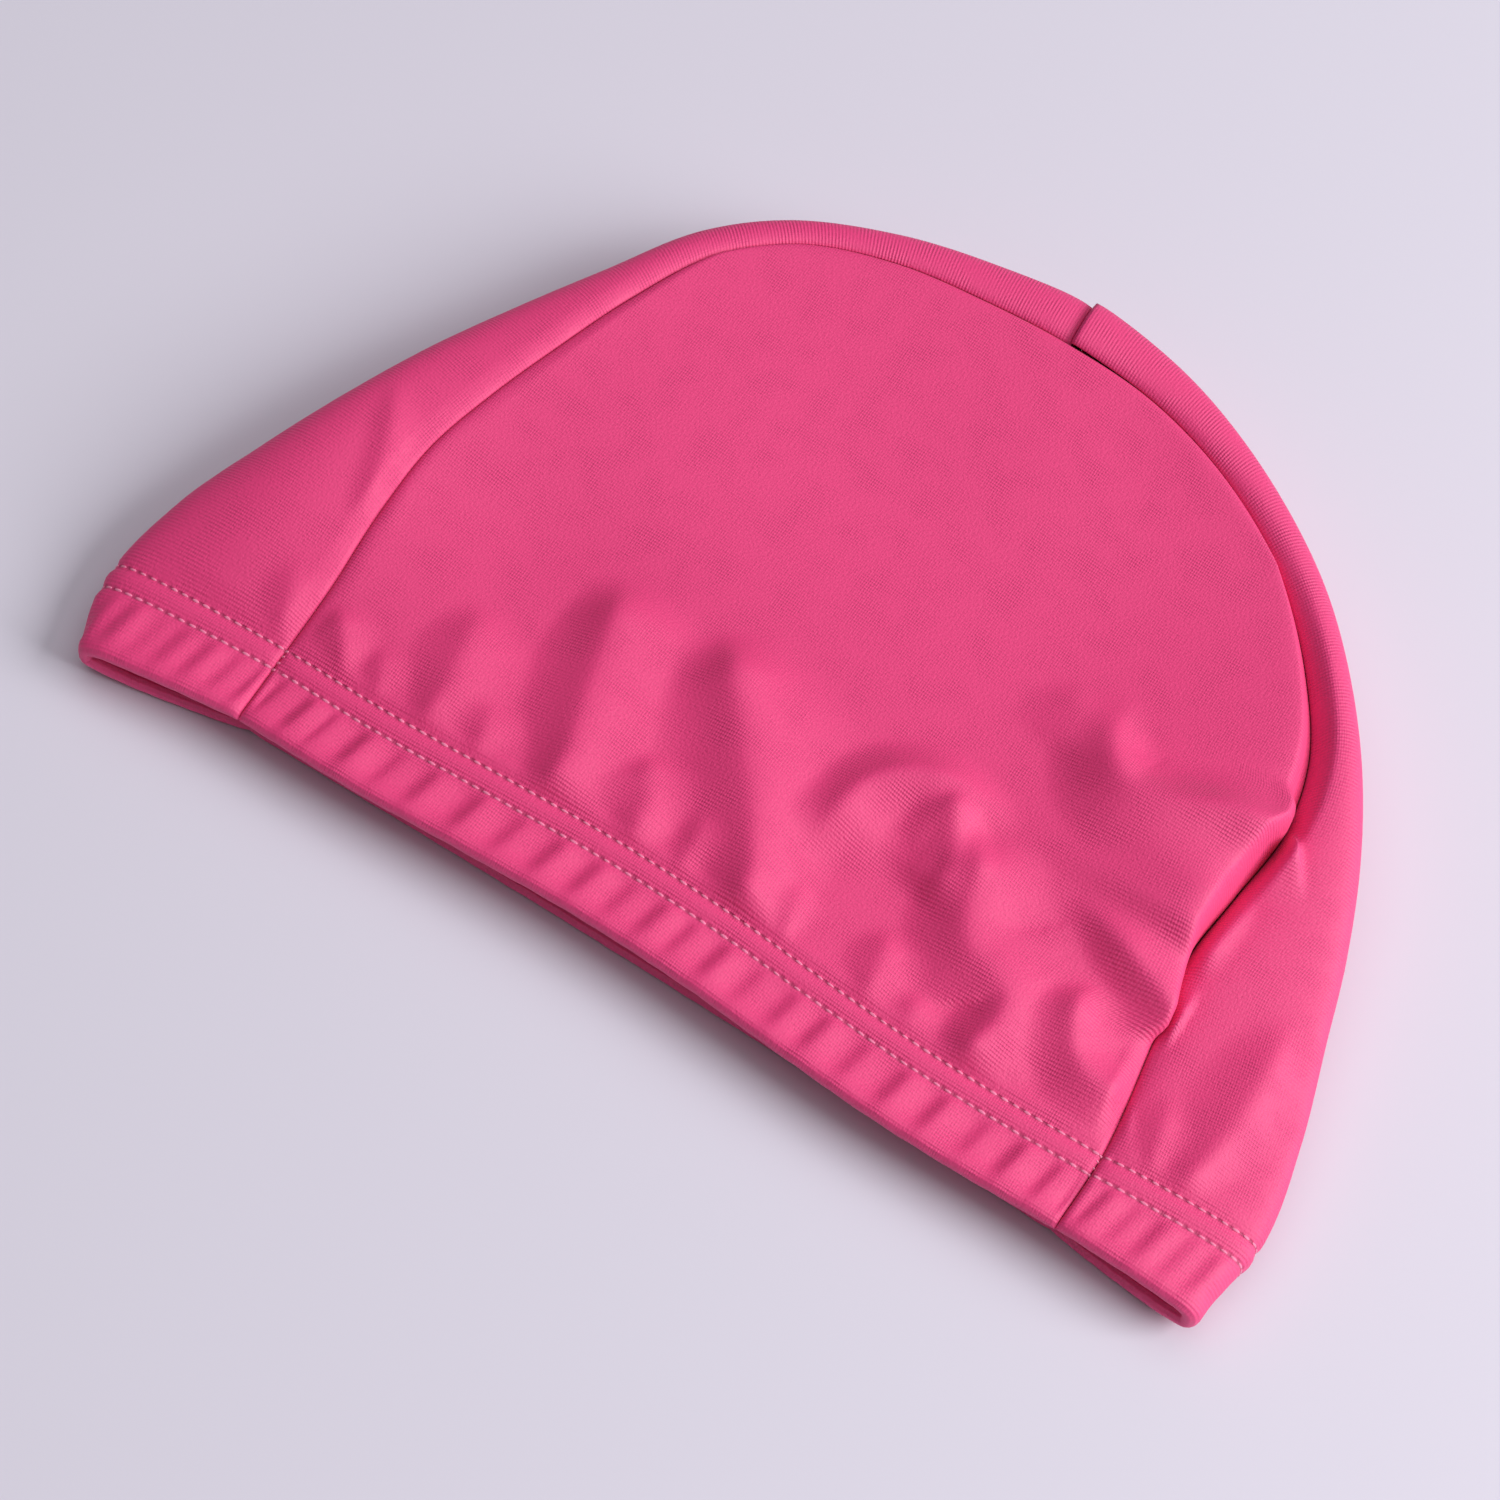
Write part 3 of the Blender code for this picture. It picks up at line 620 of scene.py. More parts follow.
def cloth_rows(upper_rows):
    """Rows from the turning's raw edge round the hem to the crown's corners.

    above is the height over the hem's edge in the casing, height the share of the way from there to
    the corners, depth how deep the row lies under the outer face, outer 1 on the outer face.
    """
    roll = CASING / 2
    rows = [Row(a, 0.0, CASING + STITCH_DIP, 0.0) for a in (TURNING, UPPER_STITCHES, LOWER_STITCHES)]
    for above in np.linspace(LOWER_STITCHES - INNER_START, roll, INNER_ROWS)[:-1]:
        rows.append(Row(above, 0.0, CASING, 0.0))
    for turn in np.linspace(0.0, math.pi, ROLL_ROWS + 1):
        outer = (1.0 - math.cos(turn)) / 2.0
        rows.append(Row(roll * (1.0 - math.sin(turn)), 0.0, roll * (1.0 + math.cos(turn)), outer))
    for above in np.linspace(roll, TURNING + CLOTH, CASING_ROWS + 1)[1:]:
        rows.append(Row(above, 0.0, 0.0, 1.0))
    for t in np.linspace(0.0, 1.0, upper_rows + 1)[1:]:
        rows.append(Row(TURNING + CLOTH, t + END_CROWDING * t * t * (1.0 - t), 0.0, 1.0))
    return rows


def row_columns(rows):
    """The rows' above, height, depth and outer, each as a column."""
    return np.array(rows).T[:, :, None]


def band_shares(rows, corner, hem_end):
    """The share along the band of each row at one seam."""
    above, height, _, _ = np.array(rows).T
    return mix(shares_at_heights(above, corner, hem_end), corner, height)


def panel_seam(share, upper):
    """A panel's edge at shares along the band, and its lift over the seam there."""
    seam, _, lower, outward, lift = sections(share)
    edge = (seam if upper else lower) - outward * SEAM_GAP / 2
    return edge, lift if upper else np.zeros(len(share))


def overhang(y, to_seam):
    """How far the panel's cloth hangs out over the right seam."""
    along = np.interp(y / CAP_HEIGHT, [o.y for o in OVERHANGS], [o.share for o in OVERHANGS])
    across = to_seam / OVERHANG_REACH
    return OVERHANG * along * across * np.exp(1.0 - across)


def off_the_line(values, across):
    """How far values at shares across a piece run off the straight line from the first to the last."""
    return values - mix(values[0], values[-1], across)


def upper_gathers():
    """Places of the upper casing's crests along X, with one more beyond each end."""
    places = np.array(GATHERS) * CAP_WIDTH + GATHER_STEEP
    return np.concatenate([[places[0] - GATHER_BEYOND], places, [places[-1] + GATHER_BEYOND]])


def dip_at_seam(rows, dip):
    """How far each row's cloth dips at a seam: this far above the casing, and its own way in it."""
    above, height, depth, outer = row_columns(rows)
    casing_dip = CASING_SEAM_DIP * np.clip(1.0 - depth / CASING, 0.0, 1.0)
    rise = smooth((above - LOWER_STITCHES) / (TURNING - LOWER_STITCHES))
    return mix(casing_dip, dip, np.where(height > 0.0, 1.0, rise * (outer > 0.5)))


def casing_depth(rows, along, places, to_seam):
    """How deep each row's cloth lies under the smooth outer face, with its gathers and stitches."""
    above, height, depth, _ = row_columns(rows)
    crests = gather_crests(along - GATHER_LEAN * (above - GATHER_MIDDLE), places)
    calm = smooth(to_seam / GATHER_TO_SEAM)
    return depth + np.where(height > 0.0, 0.0, casing_relief(crests, above) * calm)


def panel_surface(rows, columns, upper):
    """Points and cloth coordinates of a side panel's cloth, row by row."""
    across = np.linspace(0.0, 1.0, columns + 1)
    across = mix(across, smooth(across), END_CROWDING)
    left, left_lift = panel_seam(band_shares(rows, CORNERS[0], 0.0), upper)
    right, right_lift = panel_seam(band_shares(rows, CORNERS[1], 1.0), upper)
    top, top_lift = panel_seam(mix(CORNERS[0], CORNERS[1], across), upper)
    hem, _ = panel_seam(np.array([0.0, 1.0]), upper)
    line = UPPER_HEM_LINE.at(across)
    if not upper:
        line = np.outer(across * (1.0 - across), [4 * LOWER_HEM_BOW, 0.0])
    above, height, _, outer = row_columns(rows)
    near_hem, near_top = 1.0 - smooth(height), height**TOP_BLEND
    top_x = (top[:, 0] - top[0, 0]) / (top[-1, 0] - top[0, 0])
    x = mix(left[:, 0:1], right[:, 0:1], mix(across, top_x, near_top))
    y = mix(left[:, 1:2], right[:, 1:2], across) + near_hem * off_the_line(line[:, 0], across)
    y = y + near_top * off_the_line(top[:, 1], across)
    z = mix(left[:, 2:3] + left_lift[:, None], right[:, 2:3] + right_lift[:, None], across)
    z = z + near_hem * off_the_line(line[:, 1], across)
    z = z + near_top * off_the_line(top[:, 2] + top_lift, across)
    cloth_x = x.copy()
    hem_y = mix(hem[0, 1], hem[1, 1], across) + off_the_line(line[:, 0], across)
    cloth_y = np.where(height > 0.0, y - hem_y, above)
    cloth_y = np.where(outer > 0.5, cloth_y, -cloth_y)

    width = right[:, 0:1] - left[:, 0:1]
    to_left, to_right = across * width, (1.0 - across) * width
    to_top = (1.0 - height) * (top[:, 1] - mix(hem[0, 1], hem[1, 1], across))
    to_side = np.minimum(to_left, to_right)
    to_seam = np.minimum(to_side, to_top)
    lift = np.where(to_left < to_right, left_lift[:, None], right_lift[:, None])
    lift = np.where(to_top < to_side, top_lift, lift)
    groove = SEAM_GROOVE * np.exp(-to_seam / GROOVE_REACH) * (outer > 0.5)
    dip = dip_at_seam(rows, lift if upper else SEAM_DIP) * np.exp(-to_seam / SEAM_ROUNDING) + groove
    inward = casing_depth(rows, x, upper_gathers() if upper else LOWER_GATHERS, to_side)
    if upper:
        bow = (1.0 - (2.0 * across - 1.0) ** 2) ** SAG_FULLNESS
        z = z - PANEL_SAG * np.sin(math.pi * height) ** SAG_FULLNESS * bow
        z = z + relief(x, y) * smooth(to_side / FOLD_TO_SEAM) * (outer > 0.5)
        x = x + overhang(y, to_right)
        z = z - dip - inward
    else:
        z = z + dip + inward
    return np.stack([x, y, z], axis=2), np.stack([cloth_x, cloth_y], axis=2)


def bezier(start, leave, arrive, end, steps, crowding=0.0):
    """Points along a cubic curve, at even steps or crowded at its start."""
    t = np.linspace(0.0, 1.0, CURVE_PARTS * steps + 1)[:, None]
    line = start * (1 - t) ** 3 + end * t**3
    line += 3 * leave * (1 - t) ** 2 * t + 3 * arrive * (1 - t) * t**2
    run = np.concatenate([[0.0], np.cumsum(np.linalg.norm(np.diff(line, axis=0), axis=1))])
    t = np.linspace(0.0, 1.0, steps + 1)
    even = run[-1] * (t - crowding * t * (1.0 - t) ** 2)
    return np.stack([np.interp(even, run, line[:, axis]) for axis in range(3)], axis=1)


UP = np.array([0.0, 0.0, 1.0])


def seam_valley(shares):
    """Depth and reach of the valley beside the upper seam at shares along the band."""
    knots = [share_of(v.station) for v in VALLEYS]
    depth = np.interp(shares, knots, [v.depth for v in VALLEYS])
    reach = np.interp(shares, knots, [v.reach for v in VALLEYS])
    return depth[:, None], reach[:, None]


def band_section(seam, edge, foot, out, dip, steps):
    """The band's smooth cross-section, from the upper seam round the outline fold to the lower."""
    top, foot = seam + out * SEAM_GAP / 2 + UP * dip, foot + out * SEAM_GAP / 2
    high, low = top[2] - edge[2], edge[2] - foot[2]
    over = np.array([edge[0], edge[1], top[2]]) - out * (1.0 - FULL_HANDLE) * high
    under = np.array([edge[0], edge[1], foot[2]]) - out * (1.0 - ROUND_HANDLE) * low
    brow = edge + UP * FULL_HANDLE * high
    above = bezier(top, over, brow, edge, steps // 2, END_CROWDING)
    below = bezier(edge, edge - UP * ROUND_HANDLE * low, under, foot, steps // 2)
    return np.concatenate([above, below[1:]]), (edge[2], high)


def band_surface(rows, left):
    """Points and cloth coordinates of one half of the band, from its casing to the cross seam."""
    corner, hem_end = (CORNERS[0], 0.0) if left else (CORNERS[1], 1.0)
    shares = band_shares(rows, corner, hem_end)
    cross = share_of(CROSS_SEAM)
    stop = cross + (-1 if left else 1) * SEAM_GAP / 2 / SEAM_LENGTH
    count = int(abs(stop - corner) * SEAM_LENGTH / BAND_STEP)
    shares = np.concatenate([shares, np.linspace(corner, stop, count + 1)[1:]])
    rows = rows + [Row(TURNING, 1.0, 0.0, 1.0)] * count
    above, height, _, outer = row_columns(rows)
    seam, edge, foot, out, _ = sections(shares)
    crown_dip = seam_valley(shares)[0][:, 0]
    grid, weight = [], []
    for i in range(len(shares)):
        points, (middle, high) = band_section(
            seam[i], edge[i], foot[i], out[i], crown_dip[i], BAND_COLUMNS
        )
        grid.append(points)
        weight.append(smooth((points[:, 2] - middle) / high))
    grid, weight = np.array(grid), np.array(weight)
    to_top = np.linalg.norm(grid - grid[:, :1], axis=2)
    to_foot = np.linalg.norm(grid - grid[:, -1:], axis=2)
    run = np.linalg.norm(np.diff(grid, axis=1), axis=2)
    run = np.concatenate([np.zeros((len(grid), 1)), np.cumsum(run, axis=1)], axis=1)
    cloth_y = np.where(height > 0.0, np.abs(shares[:, None] - hem_end) * SEAM_LENGTH, above)
    cloth_y = np.where(outer > 0.5, cloth_y, -cloth_y) + np.zeros_like(run)
    weight = weight * smooth(to_top / FOLD_TO_SEAM) * (outer > 0.5)
    grid[:, :, 2] += relief(grid[:, :, 0], grid[:, :, 1]) * weight

    way = np.gradient(grid, axis=1)
    along = np.einsum("ijk,ik->ij", way, out)
    inward = way[:, :, 2:3] * out[:, None, :] - along[:, :, None] * UP
    inward /= np.linalg.norm(inward, axis=2, keepdims=True)
    inward[:, 0], inward[:, -1] = -UP, UP
    valley, reach = seam_valley(shares)
    groove = SEAM_GROOVE * (outer > 0.5)
    grid[:, :, 2] += dip_at_seam(rows, SEAM_DIP) * np.exp(-to_foot / SEAM_ROUNDING)
    grid[:, :, 2] += groove * np.exp(-to_foot / GROOVE_REACH)
    grid[:, :, 2] -= dip_at_seam(rows, valley) * np.exp(-to_top / reach)
    grid[:, :, 2] -= groove * np.exp(-to_top / GROOVE_REACH)
    to_seam = np.minimum(to_top, to_foot)
    depth = casing_depth(rows, -run if left else run, BAND_GATHERS, to_seam)
    to_cross = np.abs(shares - cross)[:, None] * SEAM_LENGTH
    depth = depth + SEAM_DIP * np.exp(-to_cross / SEAM_ROUNDING) * (height > 0.0)
    if not left:
        depth = depth - BACK_PROUD * np.exp(-to_cross / PROUD_REACH) * (height > 0.0)
    grid = grid + inward * depth[:, :, None]
    grid[:, :, 2] = np.maximum(grid[:, :, 2], 0.0)
    return grid, np.stack([run, cloth_y], axis=2)


def add_object(name, data):
    """An object in the scene with this mesh, light or camera."""
    thing = bpy.data.objects.new(name, data)
    bpy.context.scene.collection.objects.link(thing)
    return thing


def lay_cloth(name, points, cloth_xy, flip):
    """A piece of cloth over a grid of points, with its wall towards the inside."""
    count, width = points.shape[:2]
    corner = np.arange(count * width).reshape(count, width)
    faces = np.stack([corner[:-1, :-1], corner[:-1, 1:], corner[1:, 1:], corner[1:, :-1]], axis=2)
    faces = faces.reshape(-1, 4)
    if flip:
        faces = faces[:, ::-1]
    mesh = bpy.data.meshes.new(name)
    mesh.from_pydata((points.reshape(-1, 3) - BOX_MIDDLE).tolist(), [], faces.tolist())
    layer = mesh.uv_layers.new(name="cloth")
    layer.data.foreach_set("uv", cloth_xy.reshape(-1, 2)[faces.ravel()].ravel())
    mesh.shade_smooth()
    piece = add_object(name, mesh)
    wall = piece.modifiers.new("wall", "SOLIDIFY")
    wall.thickness = CLOTH
    wall.offset = -1.0
    return piece


Thread = namedtuple("Thread", "place way up")


def face_normals(points, flip):
    """Outward normals at the points of a cloth grid."""
    normals = np.cross(np.gradient(points, axis=1), np.gradient(points, axis=0))
    normals *= (-1.0 if flip else 1.0) / np.linalg.norm(normals, axis=2, keepdims=True)
    return normals


def outer_row(grid, rows, above):
    """A grid's values along the casing's outer face at a height above the hem."""
    outer = [i for i, row in enumerate(rows) if row.outer == 1.0 and row.height == 0.0]
    heights = [rows[i].above for i in outer]
    after = int(np.searchsorted(heights, above))
    share = (above - heights[after - 1]) / (heights[after] - heights[after - 1])
    return mix(grid[outer[after - 1]], grid[outer[after]], share)


def stitch_row(points, normals, cloth_xy, rows, above):
    """The stitches of one row: each at an odd half pitch of the cloth, lying along the row."""
    line, up = outer_row(points, rows, above), outer_row(normals, rows, above)
    run = outer_row(cloth_xy, rows, above)[:, 0]
    first = math.ceil(run[0] / STITCH_PITCH) + 0.5
    places = np.arange(first * STITCH_PITCH, run[-1] - STITCH_PITCH / 2, STITCH_PITCH)
    way = np.gradient(line, axis=0)
    at = [
        np.stack([np.interp(places, run, values[:, axis]) for axis in range(3)], axis=1)
        for values in (line, way, up)
    ]
    return [Thread(*three) for three in zip(*at)]


def seam_tacks(points, normals, rows, end):
    """Bars of thread across a panel's seam, at its left end 0 or its right end -1."""
    tacks = []
    for above in TACK_HEIGHTS:
        line, up = outer_row(points, rows, above), outer_row(normals, rows, above)
        tacks.append(Thread(line[end], line[end] - line[1 if end == 0 else -2], up[end]))
    return tacks


def stitch_tree(thread):
    """Geometry nodes that lay one stitch at every point, along its way and flat on the cloth."""
    tree = bpy.data.node_groups.new("stitches", "GeometryNodeTree")
    tree.interface.new_socket("Places", in_out="INPUT", socket_type="NodeSocketGeometry")
    for label in ("Length", "Width", "Height"):
        tree.interface.new_socket(label, in_out="INPUT", socket_type="NodeSocketFloat")
    tree.interface.new_socket("Stitches", in_out="OUTPUT", socket_type="NodeSocketGeometry")
    nodes, join = tree.nodes, tree.links.new
    given, made = nodes.new("NodeGroupInput"), nodes.new("NodeGroupOutput")
    size = nodes.new("ShaderNodeCombineXYZ")
    for axis, label in enumerate(("Length", "Width", "Height")):
        join(given.outputs[label], size.inputs[axis])
    ball = nodes.new("GeometryNodeMeshUVSphere")
    ball.inputs["Segments"].default_value = 8
    ball.inputs["Rings"].default_value = 6
    ball.inputs["Radius"].default_value = 0.5
    turned = nodes.new("GeometryNodeTransform")
    turned.inputs["Rotation"].default_value = (0.0, math.pi / 2, 0.0)
    join(ball.outputs["Mesh"], turned.inputs["Geometry"])
    shaped = nodes.new("GeometryNodeTransform")
    join(turned.outputs["Geometry"], shaped.inputs["Geometry"])
    join(size.outputs[0], shaped.inputs["Scale"])
    soft = nodes.new("GeometryNodeSetShadeSmooth")
    join(shaped.outputs["Geometry"], soft.inputs["Geometry"])
    turn = None
    for label, axis, pivot in (("way", "X", "AUTO"), ("up", "Z", "X")):
        field = nodes.new("GeometryNodeInputNamedAttribute")
        field.data_type = "FLOAT_VECTOR"
        field.inputs["Name"].default_value = label
        align = nodes.new("FunctionNodeAlignRotationToVector")
        align.axis, align.pivot_axis = axis, pivot
        join(field.outputs["Attribute"], align.inputs["Vector"])
        if turn:
            join(turn.outputs["Rotation"], align.inputs["Rotation"])
        turn = align
    spread = nodes.new("FunctionNodeRandomValue")
    spread.data_type = "FLOAT_VECTOR"
    spread.inputs["Min"].default_value = SMALL_STITCH
    spread.inputs["Max"].default_value = LARGE_STITCH
    spread.inputs["Seed"].default_value = THREAD_SEED
    seat = nodes.new("GeometryNodeInstanceOnPoints")
    join(given.outputs["Places"], seat.inputs["Points"])
    join(soft.outputs["Geometry"], seat.inputs["Instance"])
    join(turn.outputs["Rotation"], seat.inputs["Rotation"])
    join(spread.outputs["Value"], seat.inputs["Scale"])
    real = nodes.new("GeometryNodeRealizeInstances")
    join(seat.outputs["Instances"], real.inputs["Geometry"])
    dressed = nodes.new("GeometryNodeSetMaterial")
    dressed.inputs["Material"].default_value = thread
    join(real.outputs["Geometry"], dressed.inputs["Geometry"])
    join(dressed.outputs["Geometry"], made.inputs["Stitches"])
    return tree


def sew(name, threads, tree):
    """One plain mesh of all the stitches of a piece."""
    seeds = bpy.data.meshes.new(f"{name} places")
    seeds.from_pydata([(t.place - BOX_MIDDLE).tolist() for t in threads], [], [])
    for label in ("way", "up"):
        field = seeds.attributes.new(label, "FLOAT_VECTOR", "POINT")
        field.data.foreach_set("vector", np.array([getattr(t, label) for t in threads]).ravel())
    holder = add_object(f"{name} places", seeds)
    maker = holder.modifiers.new("stitches", "NODES")
    maker.node_group = tree
    sizes = {"Length": STITCH_LENGTH, "Width": STITCH_WIDTH, "Height": STITCH_HEIGHT}
    for socket in tree.interface.items_tree:
        if socket.name in sizes:
            maker[socket.identifier] = sizes[socket.name]
    ready = holder.evaluated_get(bpy.context.evaluated_depsgraph_get())
    mesh = bpy.data.meshes.new_from_object(ready)
    mesh.name = name
    bpy.data.objects.remove(holder)
    piece = add_object(name, mesh)
    return piece


def new_group(name, inputs, output):
    """An empty shader node group with these inputs at their values, and one output."""
    group = bpy.data.node_groups.new(name, "ShaderNodeTree")
    for label, value in inputs.items():
        socket = group.interface.new_socket(label, in_out="INPUT", socket_type="NodeSocketFloat")
        socket.default_value = value
    group.interface.new_socket(output, in_out="OUTPUT", socket_type="NodeSocketFloat")
    return group, group.nodes.new("NodeGroupInput"), group.nodes.new("NodeGroupOutput")


def math_node(tree, operation, *values):
    """A Math node with these inputs, each a number or another node's socket."""
    node = tree.nodes.new("ShaderNodeMath")
    node.operation = operation
    for socket, value in zip(node.inputs, values):
        if isinstance(value, (int, float)):
            socket.default_value = value
        else:
            tree.links.new(value, socket)
    return node.outputs[0]


def cloth_place(tree):
    """The place on the cloth, as one socket and as its ways along the hem and up from it."""
    place = tree.nodes.new("ShaderNodeUVMap")
    place.uv_map = "cloth"
    split = tree.nodes.new("ShaderNodeSeparateXYZ")
    tree.links.new(place.outputs[0], split.inputs[0])
    return place.outputs[0], split.outputs[0], split.outputs[1]


def noise_node(tree, place, scale, detail):
    """A noise from about 0 to 1 over places, with this many grains to the metre."""
    noise = tree.nodes.new("ShaderNodeTexNoise")
    tree.links.new(place, noise.inputs["Vector"])
    noise.inputs["Scale"].default_value = scale
    noise.inputs["Detail"].default_value = detail
    return noise.outputs["Fac"]


def knit_group():
    """Fine knit: ribs along the hem crossed by faint wales, worn smooth in soft patches. Its weave
    gives the cloth's bump and also its painted rib shade and highlight.
    """
    sizes = {"Rib Pitch": RIB_PITCH, "Wale Pitch": WALE_PITCH, "Depth": 1.0}
    group, given, made = new_group("fine knit", sizes, "Weave")
    place, along, up = cloth_place(group)
    bend = math_node(group, "MULTIPLY", noise_node(group, place, 90.0, 2.0), ROW_WANDER)
    waves = []
    for way, pitch in ((up, "Rib Pitch"), (along, "Wale Pitch")):
        turns = math_node(group, "DIVIDE", way, given.outputs[pitch])
        turns = math_node(group, "ADD", math_node(group, "MULTIPLY", turns, math.tau), bend)
        waves.append(math_node(group, "SINE", turns))
    ribs, wales = waves
    clear = group.nodes.new("ShaderNodeMapRange")
    group.links.new(noise_node(group, place, 150.0, 1.0), clear.inputs["Value"])
    clear.inputs["From Min"].default_value = 0.35
    clear.inputs["From Max"].default_value = 0.70
    clear.inputs["To Min"].default_value = 0.25
    weave = math_node(group, "ADD", math_node(group, "MULTIPLY", wales, WALE_SHARE), ribs)
    weave = math_node(group, "MULTIPLY", weave, clear.outputs[0])
    fuzz = math_node(group, "SUBTRACT", noise_node(group, place, 1800.0, 2.0), 0.5)
    weave = math_node(group, "ADD", weave, math_node(group, "MULTIPLY", fuzz, FUZZ_SHARE))
    weave = math_node(group, "MULTIPLY", weave, given.outputs["Depth"])
    group.links.new(weave, made.inputs["Weave"])
    return group


def stitch_group():
    """The needle holes of the two stitch rows: 1 in each hole, 0 away from the rows. The knit sinks
    its bump there and paints shade into the holes.
    """
    heights = {"Lower Row": LOWER_STITCHES, "Upper Row": UPPER_STITCHES}
    group, given, made = new_group("stitch holes", heights, "Holes")
    _, along, up = cloth_place(group)
    turns = math_node(group, "MULTIPLY", along, math.tau / STITCH_PITCH)
    pulse = math_node(group, "MULTIPLY_ADD", math_node(group, "COSINE", turns), 0.5, 0.5)
    rows = []
    for label in heights:
        off = math_node(group, "SUBTRACT", up, given.outputs[label])
        off = math_node(group, "DIVIDE", off, STITCH_HOLE)
        off = math_node(group, "MULTIPLY", math_node(group, "MULTIPLY", off, off), -1.0)
        rows.append(math_node(group, "EXPONENT", off))
    holes = math_node(group, "MULTIPLY", math_node(group, "ADD", *rows), pulse)
    group.links.new(holes, made.inputs["Holes"])
    return group


def mix_colours(tree, share, first, last):
    """The colour between two, each an RGB or another node's socket."""
    node = tree.nodes.new("ShaderNodeMix")
    node.data_type = "RGBA"
    tree.links.new(share, node.inputs["Factor"])
    for socket, value in ((node.inputs[6], first), (node.inputs[7], last)):
        if hasattr(value, "default_value"):
            tree.links.new(value, socket)
        else:
            socket.default_value = (*value, 1.0)
    return node.outputs[2]


def new_material(name):
    """A material with its node tree and its Principled shader."""
    material = bpy.data.materials.new(name)
    material.use_nodes = True
    return material, material.node_tree, material.node_tree.nodes["Principled BSDF"]


def shaded(colour, factor):
    """A colour made darker or lighter by a factor."""
    return [min(1.0, channel * factor) for channel in colour]


def knit_material(name, pink, knit, stitch_holes):
    """Matte pink knit, with painted shade in the grooves between its ribs, painted highlight on their
    tops, and painted shade in its needle holes.
    """
    material, tree, shader = new_material(name)
    shader.inputs["Roughness"].default_value = 0.72
    shader.inputs["IOR"].default_value = 1.75
    shader.inputs["Specular IOR Level"].default_value = 0.7
    shader.inputs["Sheen Weight"].default_value = 0.06
    shader.inputs["Sheen Roughness"].default_value = 0.5
    shader.inputs["Sheen Tint"].default_value = (1.0, 0.78, 0.92, 1.0)
    weave = tree.nodes.new("ShaderNodeGroup")
    weave.node_tree = knit
    shade = tree.nodes.new("ShaderNodeMapRange")
    tree.links.new(weave.outputs["Weave"], shade.inputs["Value"])
    shade.inputs["From Min"].default_value = -WEAVE_RANGE
    shade.inputs["From Max"].default_value = WEAVE_RANGE
    holes = tree.nodes.new("ShaderNodeGroup")
    holes.node_tree = stitch_holes
    # Painted shade in the grooves between the ribs and painted highlight on their tops, with the
    # fuzz's random tone in the same mix
    dark, light = shaded(pink, RIB_SHADE_AND_FUZZ), shaded(pink, RIB_HIGHLIGHT_AND_FUZZ)
    colour = mix_colours(tree, shade.outputs[0], dark, light)
    # Painted shade in the needle holes between the stitches
    hole_shade = math_node(tree, "MULTIPLY", holes.outputs["Holes"], NEEDLE_HOLE_SHADE_SHOWS)
    colour = mix_colours(tree, hole_shade, colour, shaded(pink, NEEDLE_HOLE_SHADE))
    tree.links.new(colour, shader.inputs["Base Color"])
    bump = tree.nodes.new("ShaderNodeBump")
    bump.inputs["Distance"].default_value = WEAVE_HEIGHT
    bump.inputs["Strength"].default_value = 0.8
    height = math_node(
        tree, "MULTIPLY_ADD", holes.outputs["Holes"], -HOLE_DEPTH, weave.outputs["Weave"]
    )
    tree.links.new(height, bump.inputs["Height"])
    tree.links.new(bump.outputs[0], shader.inputs["Normal"])
    return material


def thread_material():
    """Pale pink sewing thread, a little uneven."""
    material, tree, shader = new_material("sewing thread")
    shader.inputs["Roughness"].default_value = 0.45
    shader.inputs["Sheen Weight"].default_value = 0.3
    place = tree.nodes.new("ShaderNodeTexCoord")
    twist = noise_node(tree, place.outputs["Object"], 900.0, 2.0)
    deep, pale = shaded(THREAD_PINK, THREAD_DARK), shaded(THREAD_PINK, THREAD_LIGHT)
    tree.links.new(mix_colours(tree, twist, deep, pale), shader.inputs["Base Color"])
    return material


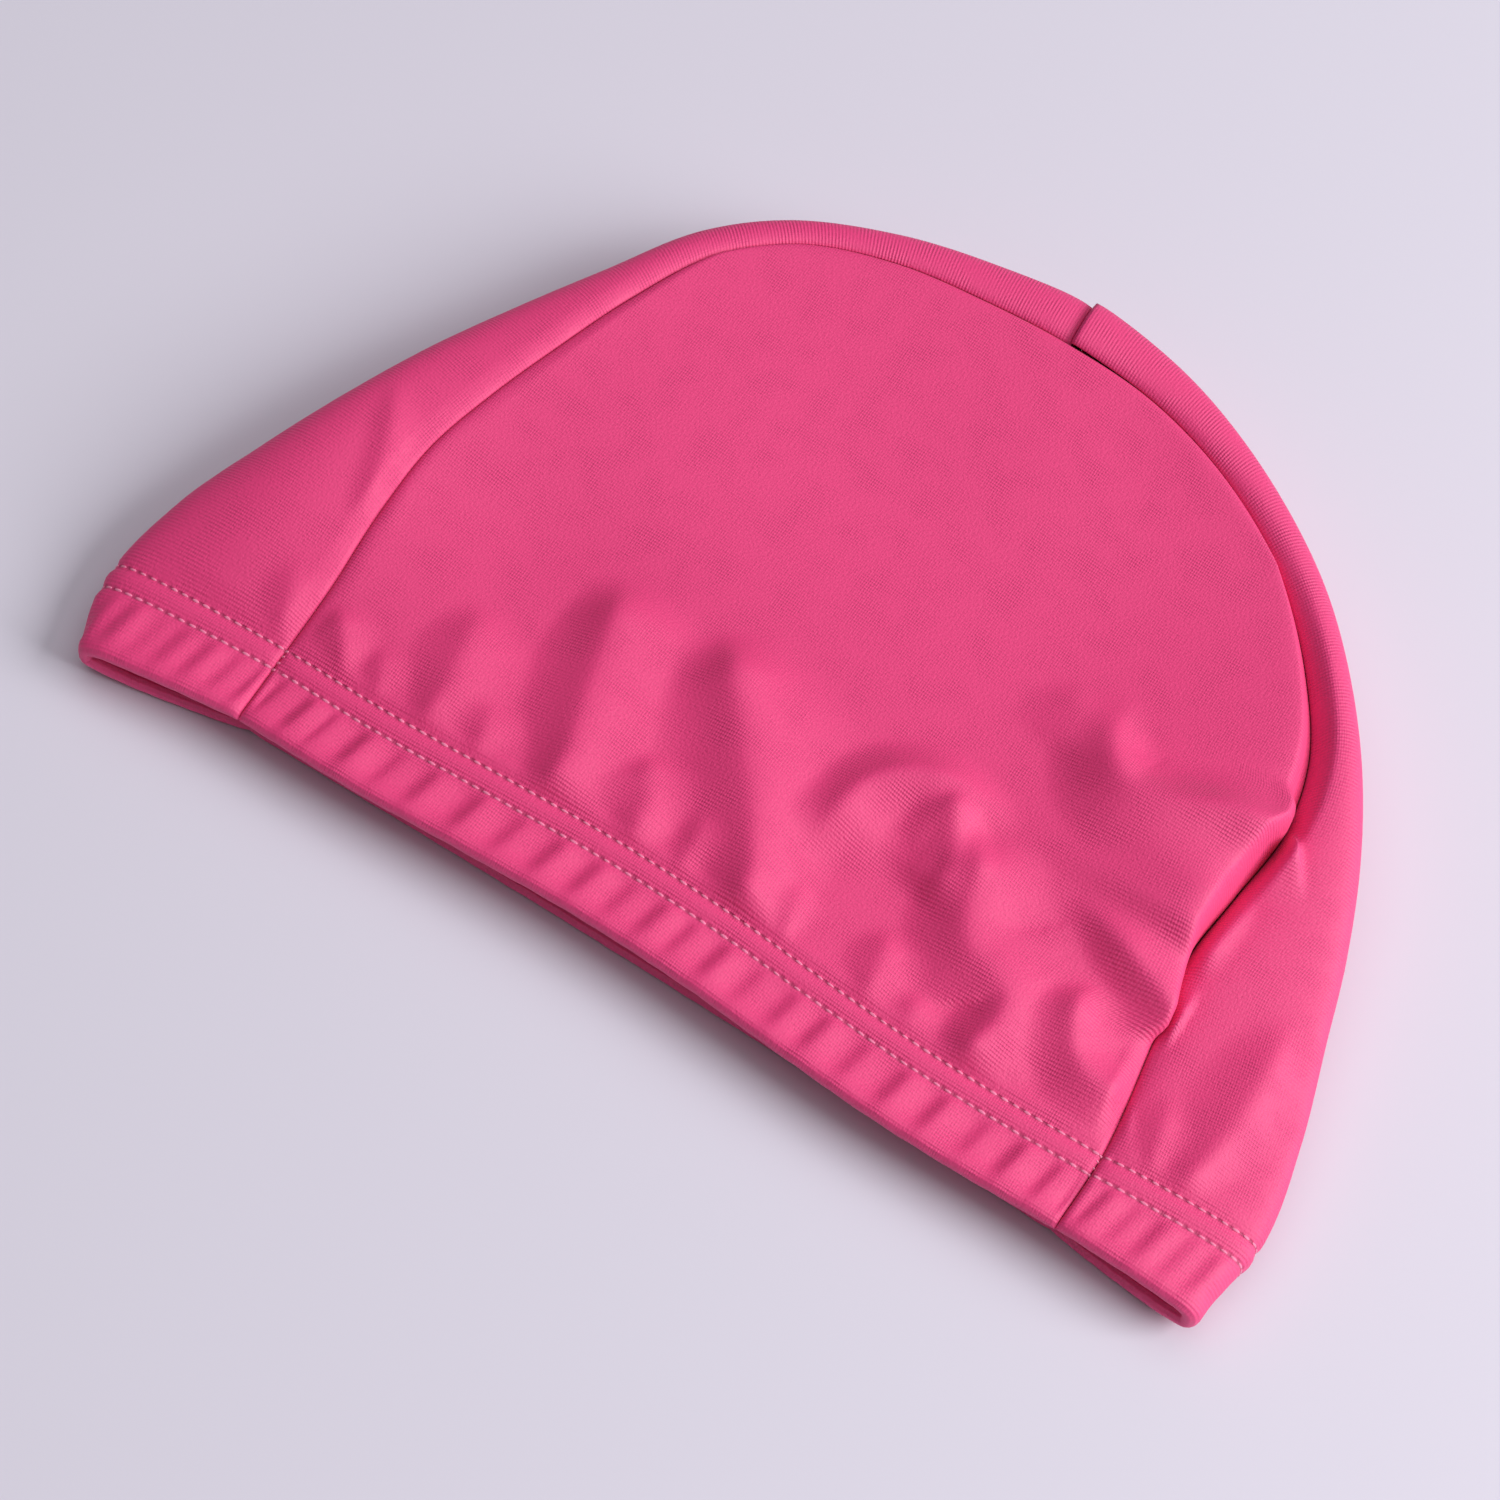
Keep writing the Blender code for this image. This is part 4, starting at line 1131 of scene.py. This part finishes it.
def floor_and_lights():
    """The pale floor, the soft room light and the two lamps."""
    bpy.ops.mesh.primitive_plane_add(size=6.0, location=(0.0, 0.0, 0.0))
    floor = bpy.context.object
    floor.name = "floor"
    material, _, shader = new_material("pale floor")
    shader.inputs["Base Color"].default_value = (*FLOOR_PALE, 1.0)
    shader.inputs["Roughness"].default_value = 0.9
    shader.inputs["Specular IOR Level"].default_value = 0.1
    floor.data.materials.append(material)

    bpy.context.scene.view_settings.view_transform = "Standard"
    world = bpy.data.worlds.new("soft room light")
    world.use_nodes = True
    background = world.node_tree.nodes["Background"]
    background.inputs["Color"].default_value = (0.96, 0.97, 1.0, 1.0)
    background.inputs["Strength"].default_value = WORLD_LIGHT
    bpy.context.scene.world = world
    for lamp in LAMPS:
        light = bpy.data.lights.new(lamp.name, "AREA")
        light.shape = "SQUARE"
        light.size = lamp.side
        light.energy = lamp.watts
        holder = add_object(lamp.name, light)
        holder.visible_glossy = lamp.shines
        holder.location = Vector(lamp.way).normalized() * lamp.distance
        holder.rotation_mode = "QUATERNION"
        holder.rotation_quaternion = holder.location.to_track_quat("Z", "Y")


def camera():
    """The camera that looks down at the cap from in front of its hem."""
    data = bpy.data.cameras.new("camera")
    data.lens, data.sensor_width = CAMERA_LENS, CAMERA_PICTURE
    data.clip_start, data.clip_end = 0.05, 20.0
    eye = add_object("camera", data)
    turn = Matrix((CAMERA_RIGHT, CAMERA_UP, CAMERA_BACK)).transposed().to_4x4()
    place = Matrix.Translation(np.subtract(CAMERA_PLACE, BOX_MIDDLE))
    eye.matrix_world = place @ turn
    bpy.context.scene.camera = eye


def main():
    """Each piece's cloth and stitches, then the floor, the lights and the camera."""
    fine, coarse = cloth_rows(PANEL_ROWS), cloth_rows(LOWER_ROWS)
    knit, stitch_holes = knit_group(), stitch_group()
    stitches = stitch_tree(thread_material())
    shapes = {
        "side_panel_upper": (*panel_surface(fine, PANEL_COLUMNS, True), fine, False),
        "side_panel_lower": (*panel_surface(coarse, LOWER_COLUMNS, False), coarse, True),
        "band_front": (*band_surface(fine, True), fine, True),
        "band_back": (*band_surface(fine, False), fine, False),
    }
    for name, (points, cloth_xy, rows, flip) in shapes.items():
        piece = lay_cloth(f"{name}_cloth", points, cloth_xy, flip)
        piece.data.materials.append(knit_material(f"{name} knit", PINKS[name], knit, stitch_holes))
        normals = face_normals(points, flip)
        threads = []
        for above in (LOWER_STITCHES, UPPER_STITCHES):
            threads += stitch_row(points, normals, cloth_xy, rows, above)
        if name.startswith("side_panel"):
            threads += seam_tacks(points, normals, rows, 0) + seam_tacks(points, normals, rows, -1)
        seam = sew(f"{name}_stitches", threads, stitches)
        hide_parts(name)
        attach(piece, "root")
        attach(seam, "root")
    floor_and_lights()
    camera()


main()
